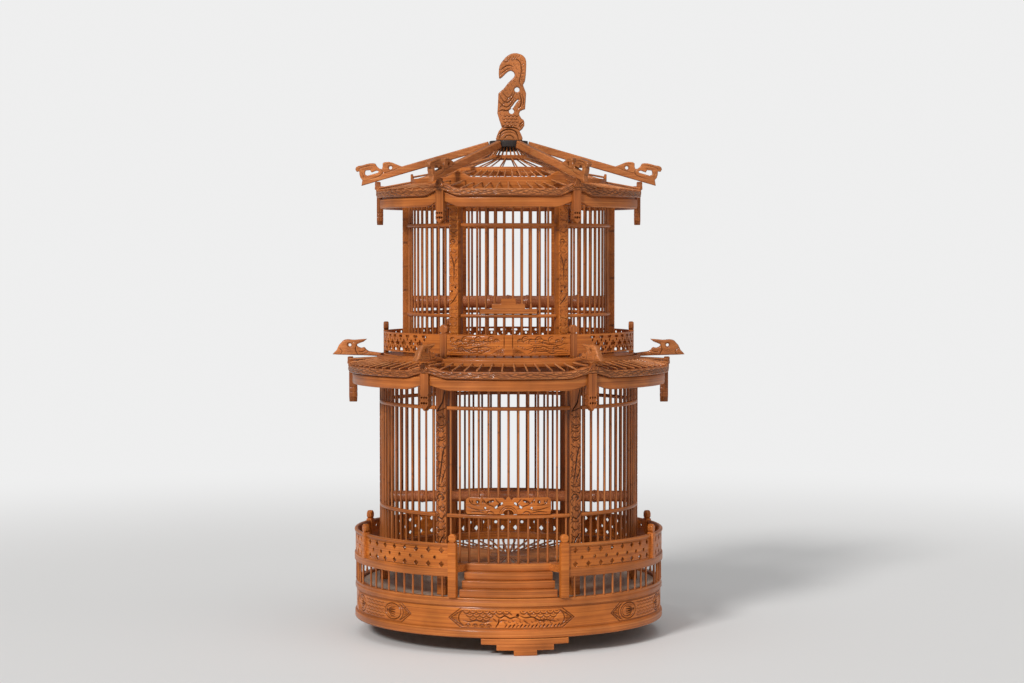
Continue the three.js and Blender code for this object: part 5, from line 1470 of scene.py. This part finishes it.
def clover(x, y):
    """A hole of three leaves that meet, drawn as one outline: a small one over two broad ones."""
    return np.vstack([arc(x, y + 2.1, 1.7, -30, 210, 6), arc(x - 2.9, y - 1.0, 2.15, 70, 320, 7),
                      arc(x + 2.9, y - 1.0, 2.15, 220, 470, 7)])


def lattice(name, plain_end):
    """Three rows of leaves in a thin frame. The end beside the front board may stay plain."""
    drawing = [board_outline(bay_half, board_bottom, board_top)]
    for i in range(2 * clover_count - 1):
        x = (i / 2 - (clover_count - 1) / 2) * clover_pitch
        if x * plain_end > bay_half - 20:
            continue
        if i % 2:
            drawing += [clover(x, board_bottom + 11.6), circle(x, board_bottom + 6.2, 1.6, 10)]
        else:
            drawing += [clover(x, board_bottom + 4.4), circle(x, board_top - 7.8, 1.6, 10),
                        long_hole((x - 2.4, board_top - 3.8), (x + 2.4, board_top - 3.8), 2.9)]
    return carved(name, drawing, [], board_thickness, bent(board_circle), board_finish, cell=0.6, ease=0.4)


lattices = [turned_copies("bays", lattice("bay", plain_end), count, first * sector, sector)
            for plain_end, count, first in ((0, 3, 2), (-1, 1, 1), (1, 1, 5))]
settle(joined("gallery_lattices", lattices), "carved_bamboo", "gallery_lattice")

# %% Carved front board
board_half = bay_half - 0.6
low, high = board_bottom - 1.5, board_top
middle = (low + high) / 2
landscape = []
clouds = ((14, 4, 3.2), (20, 6.4, 4.0), (27, 3.6, 3.0), (36, 5.4, 4.4), (44, 2.4, 3.4), (52, 5.6, 4.2),
          (60, 3, 3.4), (68, 6, 3.0), (33, -5.4, 3.0), (57, -5.6, 3.4))
for side in (-1, 1):
    inner, outer = side * 5.0, side * (board_half - 3)
    landscape.append(([(inner, low + 9), (inner, high - 1)], 1.0, 0.55))
    landscape += [([(inner + side * 1.5, high - 1.8), (outer, high - 1.8)], 0.8, 0.4),
                  ([(inner + side * 18, low + 1.8), (outer, low + 1.8)], 0.8, 0.4)]
    for k in range(6):
        drop = 9.0 - 1.5 * k
        landscape.append(([(inner, low + 0.8 + drop), (inner + side * 1.9 * drop, low + 0.8)], 0.8, 0.45))
    for row, (start, end) in enumerate(((22, 66), (12, 70), (30, 74), (8, 52))):
        xs = np.linspace(side * start, side * min(end, board_half - 4), 22)
        level = low + 4.2 + 4.6 * row
        wave = level + 1.4 * np.sin(xs / (5.4 + row) + row + side) + 0.6 * np.sin(xs / 2.2 + row)
        landscape.append((np.stack([xs, wave], axis=-1), 0.95, 0.55))
    for k, (x, y, radius) in enumerate(clouds):
        curl = arc(side * x, middle + y, radius, 10 + 25 * (k % 3), 215 + 20 * (k % 2), 9)
        landscape.append((curl, 1.0, 0.6))
        landscape.append((arc(side * x, middle + y - 0.4, 0.5 * radius, 0, 190, 6), 0.8, 0.4))
    for row, (start, end) in enumerate(((26, 60), (16, 68), (24, 70))):
        xs = np.linspace(side * start, side * min(end, board_half - 4), 20)
        wave = low + 6.4 + 4.6 * row + 1.2 * np.sin(xs / (4.2 + row) + 2 * row - side)
        landscape.append((np.stack([xs, wave], axis=-1), 0.8, 0.45))
    for k in range(44):
        x, y = 9 + 1.45 * k, (7 * k) % 15 - 8.5
        landscape.append(([(side * x, middle + y), (side * (x + 1.5), middle + y + 0.6)], 0.8, 0.5))
front_board = carved("front_board", [board_outline(board_half, low, high)], bolder(landscape, 1.5, 1.8),
                     board_thickness, bent(board_circle), board_finish, cell=0.55, ease=0.7)
settle(joined("gallery_landscape", [front_board]), "carved_bamboo", "gallery_front_board")

# %% [markdown]
# ## The upper storey
# It repeats the lower one in a smaller size: ten bars to a bay, six of them on the sliding door in front.
# The same helpers make it, so a change in one storey's bars or posts is made in the other as well.
# %% Upper storey
upper_circle = bar_circle - 33.6
upper_pitch = 360 / 72
upper_bay_count, upper_door_count = 10, 6
upper_post_width, upper_post_depth = 12.6, 12.0
upper_post_outer = upper_circle + 7.6
upper_post_bottom, upper_post_top = span("upper_post_right")
upper_hoop_levels = (gallery_floor_top + 49.0, upper_bar_top - 24.7)
upper_hoops = bay_hoops("upper_hoops", upper_circle, upper_hoop_levels, height=4.2, beside=upper_post_width)
settle(upper_hoops, "bamboo")
upper_wall = (upper_circle, upper_bar_bottom, upper_bar_top, upper_pitch)
upper_runs = standing_bars("upper_bay", *upper_wall, upper_bay_count, upper_door_count)
settle(joined("upper_bars", upper_runs), "pale_bamboo", *[f"upper_bars_{bay}" for bay in bay_names])
upper_posts = carved_post("upper_posts", upper_post_width, upper_post_depth, upper_post_outer,
                          upper_post_bottom, upper_post_top, upper_carving, board_finish)
settle(upper_posts, "carved_bamboo", *[f"upper_post_{corner}" for corner in corner_names])
upper_whip = perch("upper_whip", upper_post_outer - upper_post_depth - clearance, thickness=15.6,
                   height=gallery_floor_top + 63.6)
settle(upper_whip, "dark_whip", "upper_perch")

# %% Upper door
upper_plate_height, upper_plate_side, upper_plate_thickness = 18.7, 7.4, 5.0
door_reach = (upper_door_count - 1) / 2 * upper_pitch
half = upper_circle * math.sin(math.radians(door_reach)) + upper_plate_side
base, third = upper_hoop_levels[0] + 2.5, upper_plate_height / 3
step_shares = (1, 0.577, 0.262)
step_side = [(share * half, base + (step + up) * third)
             for step, share in enumerate(step_shares) for up in (0, 1)]
upper_plate = carved("upper_plate", [step_side + [(-x, y) for x, y in reversed(step_side)]],
                     [([(-half, base + third), (half, base + third)], 0.8, 0.4)], upper_plate_thickness,
                     bent(upper_circle + upper_plate_thickness / 2), hoop_finish, cell=0.6, ease=0.9)
upper_door_run = door_bars("upper_door_run", *upper_wall, upper_door_count)
settle(joined("upper_door_bars", [upper_door_run]), "pale_bamboo", "upper_door", body="upper_door")
settle(joined("upper_door_plate", [upper_plate]), "bamboo", body="upper_door")

# %% Upper eave
upper_lift = 7.0
upper_head_height, upper_eave_height, lip_rise = 7.3, 8.2, 2.4
upper_eave_bottom = upper_bar_top + upper_head_height
upper_eave_top = upper_eave_bottom + upper_eave_height
upper_lip_bottom, upper_lip_top = upper_eave_bottom + lip_rise, upper_eave_top + lip_rise
lip, board = eave_hoops(upper_eave_radius, setback=4.5, fascia_height=12.2, bottom=upper_eave_bottom + 1.2,
                        lip_bottom=upper_lip_bottom, lip_top=upper_lip_top, lift=upper_lift)
bearers = head_and_arms(upper_circle - 2.0, 6.0, upper_eave_radius - 8.5, upper_bar_top, upper_eave_bottom)
settle(joined("upper_eave_lip", [lip]), "bamboo", "upper_eave")
settle(joined("upper_fascia", [board] + bearers), "bamboo")
upper_pendant = pendant(width=11.0, height=31.0, depth=7.6, outer=upper_eave_radius - 0.9,
                        top=upper_eave_bottom, strap=upper_lift + 2.0)

# %% [markdown]
# ## The upper roof
# Splints climb from the eave to a lifted band, on to a middle ring and up to the crown under the dark hub.
# The lowest ones lie between the door's bars, which pass them when the upper door is lifted.
# Six straight ribs lie over them, and each ends in a pierced dragon-like scroll above its corner.
# %% Ribs
hub_radius, hub_disc_height = 24.0, 8.2
rib_start = hub_radius - 1.2
rib_overhang = 18.3
rib_run = upper_eave_radius + rib_overhang - rib_start
rib_fall, rib_height, rib_thickness, rib_head_height = 46.3, 9.2, 7.0, 25.0
rib_length = math.hypot(rib_run, rib_fall)
rib_level = hub_top - 9.4


def on_rib(points):
    """Shares along a rib and up its carved head as a drawing in the radial plane."""
    along, up = np.asarray(points, float).T * np.array([[rib_length], [rib_head_height]])
    run, fall = rib_run / rib_length, rib_fall / rib_length
    return np.stack([rib_start + along * run + up * fall, rib_level - along * fall + up * run], axis=-1)


rib_body_share = rib_height / rib_head_height
rib_outline = [
    (0, 0), (1, 0), (0.981, 0.264), (0.99, 0.384), (0.991, 0.564), (0.985, 0.716), (1.005, 0.736),
    (1.01, 0.864), (1, 0.964), (0.981, 0.996), (0.952, 0.968), (0.919, 0.972), (0.895, 0.96), (0.872, 0.925),
    (0.854, 0.872), (0.849, 0.724), (0.836, 0.58), (0.819, 0.52), (0.808, 0.62), (0.801, 0.784),
    (0.785, 0.812), (0.754, 0.768), (0.73, 0.68), (0.70, 0.52), (0.67, rib_body_share), (0, rib_body_share)]
rib_mouth = [
    (0.939, 0.676), (0.949, 0.56), (0.949, 0.468), (0.934, 0.4), (0.855, 0.4), (0.845, 0.45), (0.861, 0.52),
    (0.901, 0.5), (0.905, 0.632)]
eye_x, eye_y = on_rib([(0.754, 0.46)])[0]
rib_strokes = traced((
    (1.2, 0.7, ((0.68, 0.36), (0.74, 0.3), (0.8, 0.3), (0.84, 0.36))),
    (1.3, 0.9, ((0.83, 0.55), (0.82, 0.36), (0.85, 0.22), (0.95, 0.2))),
    (1.1, 0.7, ((0.72, 0.6), (0.76, 0.68), (0.79, 0.7))),
    (1.2, 0.8, ((0.87, 0.82), (0.92, 0.86), (0.97, 0.86), (0.985, 0.78))),
    (1.0, 0.6, ((0.88, 0.68), (0.92, 0.74), (0.96, 0.74))),
    (1.0, 0.6, ((0.97, 0.3), (0.965, 0.5), (0.975, 0.66)))), on_rib)
rib_strokes.append((arc(eye_x, eye_y, 3.3, 0, 360, 14), 1.0, 0.6))
rib = carved("rib", [on_rib(rib_outline), on_rib(rib_mouth), circle(eye_x, eye_y, 2.1, 12)], rib_strokes,
             rib_thickness, radial, rib_finish, cell=0.6, ease=1.2, both=True)
settle(at_corners("ribs", rib), "carved_bamboo", *[f"rib_{corner}" for corner in corner_names])

rib_slope = rib_fall / rib_run
leaf_outer = upper_eave_radius + 1.5
under_rib = rib_level - (leaf_outer + 1.0 - rib_start) * rib_slope
upper_leaf = corner_leaf("upper_leaf", leaf_outer, upper_lip_bottom + upper_lift + 3.5, under_rib + 0.5)
settle(joined("upper_pendants", [at_corners("pendants", upper_pendant),
                                 at_corners("upper_leaves", upper_leaf)]), "carved_bamboo")

# %% Rings and splints of the upper roof
band_radius = upper_circle - 2.4
roof_ring_depth = 3.0
middle_outer, crown_outer = band_radius - 36.0, 24.0
band_bottom, band_top = upper_eave_top + 3.1, upper_eave_top + 17.4
middle_bottom, middle_top = upper_eave_top + 24.6, upper_eave_top + 30.6
crown_bottom, crown_top = hub_top - 22.9, hub_top - 18.1
roof_rings = []
for outer, bottom, top, ease, pitch, lift in (
        (band_radius, band_bottom, band_top, 0.9, 1.0, upper_lift),
        (middle_outer, middle_bottom, middle_top, 0.8, 2.0, 0.0),
        (crown_outer, crown_bottom, crown_top, 0.8, 6.0, 0.0)):
    section = box_section(outer - roof_ring_depth, outer, bottom, top, ease)
    roof_rings.append(ring("roof_ring", section, hoop_finish, pitch=pitch, lift=lift))
settle(joined("roof_rings", roof_rings), "bamboo", "upper_roof")

band_axis = band_radius - roof_ring_depth / 2
middle_axis = middle_outer - roof_ring_depth / 2
crown_axis = crown_outer - roof_ring_depth / 2
eave_pitch, crown_pitch = 5, 15
upper_splints = []
for bay in range(corner_count):
    upper_splints.append(splints(
        "eave_splints", 11, sector * bay - 5 * eave_pitch, eave_pitch,
        (upper_eave_radius - 1.8, upper_lip_top + 0.6), (band_axis, band_top - 6.4), 1.9, 2.0, splint_finish,
        lifts=(upper_lift, upper_lift), wander=0.4))
upper_splints += [
    splints("middle_splints", 72, eave_pitch / 2, eave_pitch, (band_axis, band_top - 3),
            (middle_axis, middle_bottom + 2.2), 1.8, 2.0, splint_finish, lifts=(upper_lift, 0.0), wander=0.5),
    splints("top_splints", 24, crown_pitch / 2, crown_pitch, (middle_axis, middle_top - 1.6),
            (crown_axis, crown_bottom + 2.2), 1.8, 1.8, splint_finish, wander=0.5),
    splints("crown_splints", 24, crown_pitch / 2, crown_pitch, (crown_axis, crown_top - 1.2),
            (14.0, hub_top - hub_disc_height), 1.7, 1.7, splint_finish)]
settle(joined("upper_roof_splints", upper_splints), "pale_bamboo")

# %% [markdown]
# ## Hub and hook
# A dark turned hub closes the roof, and the flat carved hook turns on a peg in it.
# The hook is a bird's neck and head with a curled beak, and it rides on its own body.
# %% Hub
neck_radius, peg_radius = 9.5, 3.0
bore = peg_radius + 0.5
disc_bottom = hub_top - hub_disc_height
hub = ring("hub", [(bore, hub_bottom), (neck_radius, hub_bottom), (neck_radius, disc_bottom)]
           + rounded([(hub_radius, disc_bottom), (hub_radius, hub_top), (bore + 6, hub_top)], 1.2)[:8]
           + [(bore, hub_top)], hub_finish, pitch=6)
settle(hub, "dark_hub", "apex_hub")

# %% Hook
hook_bottom = hub_top + clearance
hook_width, hook_height, hook_thickness = 37.2, 108.4, 11.0
hook_shares = [
    (-0.226, 0.724), (-0.285, 0.712), (-0.32, 0.717), (-0.332, 0.772), (-0.325, 0.815), (-0.308, 0.85),
    (-0.25, 0.89), (-0.179, 0.921), (-0.1, 0.953), (-0.014, 0.976), (0.08, 0.993), (0.174, 1), (0.27, 1),
    (0.362, 0.992), (0.44, 0.982), (0.504, 0.965), (0.56, 0.94), (0.586, 0.913), (0.592, 0.87),
    (0.586, 0.819), (0.575, 0.75), (0.551, 0.685), (0.48, 0.638), (0.586, 0.543), (0.574, 0.465),
    (0.551, 0.362), (0.46, 0.352), (0.386, 0.339), (0.355, 0.315), (0.362, 0.291), (0.433, 0.252),
    (0.5, 0.238), (0.527, 0.213), (0.527, 0.173), (0.46, 0.135), (0.362, 0.11), (0.41, 0.08), (0.468, 0.031),
    (0.456, 0), (-0.414, 0), (-0.425, 0.03), (-0.39, 0.06), (-0.33, 0.11), (-0.226, 0.15), (-0.296, 0.22),
    (-0.379, 0.315), (-0.365, 0.38), (-0.355, 0.441), (-0.344, 0.539), (-0.25, 0.57), (-0.155, 0.598),
    (-0.014, 0.661), (0.1, 0.7), (0.174, 0.724), (0.2, 0.745), (0.197, 0.764), (0.165, 0.785),
    (0.127, 0.795), (0.08, 0.802), (0.033, 0.799), (-0.03, 0.788), (-0.085, 0.772)]
on_hook = in_shares(hook_width, hook_height, 0, hook_bottom)
hook_holes = [circle(*on_hook([(0.28, 0.583)])[0], 3.2, 14), circle(*on_hook([(0.096, 0.335)])[0], 3.2, 14),
              soft_line(on_hook([(0.07, 0.375), (0.14, 0.405), (0.21, 0.44), (0.3, 0.47), (0.33, 0.462),
                                 (0.25, 0.43), (0.19, 0.395), (0.12, 0.365)]), closed=True, steps=3)]
hook_strokes = traced((
    (1.6, 1.2, ((-0.3, 0.02), (-0.27, 0.08), (-0.16, 0.115), (0.02, 0.128), (0.2, 0.11), (0.3, 0.06),
                (0.32, 0.01))),
    (1.2, 0.8, ((-0.14, 0.015), (-0.08, 0.05), (0.04, 0.062), (0.14, 0.04), (0.17, 0.01))),
    (1.8, 1.4, ((-0.22, 0.16), (-0.04, 0.15), (0.16, 0.15), (0.34, 0.125))),
    (1.3, 0.9, ((0.5, 0.22), (0.4, 0.19), (0.34, 0.15))),
    (1.1, 0.7, ((0.5, 0.19), (0.42, 0.165), (0.38, 0.14))),
    (1.5, 1.0, ((-0.34, 0.33), (-0.2, 0.35), (-0.06, 0.34), (0.05, 0.36))),
    (1.3, 0.9, ((-0.34, 0.46), (-0.2, 0.4), (-0.04, 0.385), (0.08, 0.42), (0.2, 0.49))),
    (1.3, 0.9, ((-0.3, 0.52), (-0.16, 0.45), (0.0, 0.44), (0.14, 0.5), (0.22, 0.56))),
    (1.1, 0.7, ((-0.2, 0.56), (-0.08, 0.5), (0.04, 0.5), (0.14, 0.56))),
    (1.4, 1.0, ((0.36, 0.54), (0.42, 0.47), (0.4, 0.4), (0.3, 0.36))),
    (1.1, 0.7, ((0.46, 0.54), (0.5, 0.46), (0.48, 0.39))),
    (1.3, 0.8, ((0.4, 0.63), (0.36, 0.68), (0.42, 0.78), (0.4, 0.88), (0.26, 0.93), (0.08, 0.92))),
    (1.3, 0.9, ((-0.28, 0.8), (-0.14, 0.84), (0.02, 0.86), (0.16, 0.84))),
    (1.1, 0.8, ((-0.29, 0.75), (-0.16, 0.79), (-0.02, 0.82), (0.1, 0.83))),
    (1.1, 0.7, ((-0.16, 0.9), (-0.06, 0.9), (0.04, 0.93)))), on_hook)
for row in range(4):
    for column in range(4):
        x, y = -0.16 + 0.13 * column + 0.05 * (row % 2), 0.19 + 0.035 * row
        if x < 0.3:
            hook_strokes.append((on_hook(arc(x, y, 0.055, 200, 340, 5, squash=0.4)), 1.1, 0.7))
for k in range(6):
    slant = [(-0.31 + 0.075 * k, 0.355 + 0.028 * k), (-0.22 + 0.075 * k, 0.42 + 0.026 * k)]
    tuft = [(-0.2 + 0.1 * k, 0.905 + 0.008 * k), (-0.15 + 0.1 * k, 0.93 + 0.006 * k),
            (-0.12 + 0.1 * k, 0.955 + 0.004 * k)]
    barb = [(0.38 + 0.02 * (k % 2), 0.69 + 0.035 * k), (0.53, 0.7 + 0.036 * k)]
    hook_strokes += [(on_hook(slant), 1.0, 0.6), (on_hook(soft_line(tuft)), 0.9, 0.5),
                     (on_hook(barb), 0.9, 0.5)]
for radius in (0.2, 0.32, 0.42):
    hook_strokes.append((on_hook(arc(0.02, 0.0, radius, 15, 165, 10, squash=0.3)), 1.0, 0.6))
for row in range(17):
    for column in range(6):
        x, y = -0.3 + 0.15 * column + 0.07 * (row % 2), 0.16 + 0.048 * row
        feather = arc(x, y, 0.05, 150 + 12 * ((row + column) % 3), 310, 5, squash=0.4)
        hook_strokes.append((on_hook(feather), 0.8, 0.45))
hook = carved("hook_plate", [on_hook(hook_shares)] + hook_holes, bolder(hook_strokes, 1.3, 1.35),
              hook_thickness, facing(0), rib_finish, cell=0.5, ease=1.8, both=True)
peg = lathe("peg", [(0, hub_top - 12), (peg_radius - 0.4, hub_top - 12), (peg_radius, hub_top - 11.6),
                    (peg_radius, hook_bottom + 1), (0, hook_bottom + 1)], rib_finish, sides=20)
settle(joined("carved_hook", [hook, peg]), "carved_bamboo", "hook", body="hook")
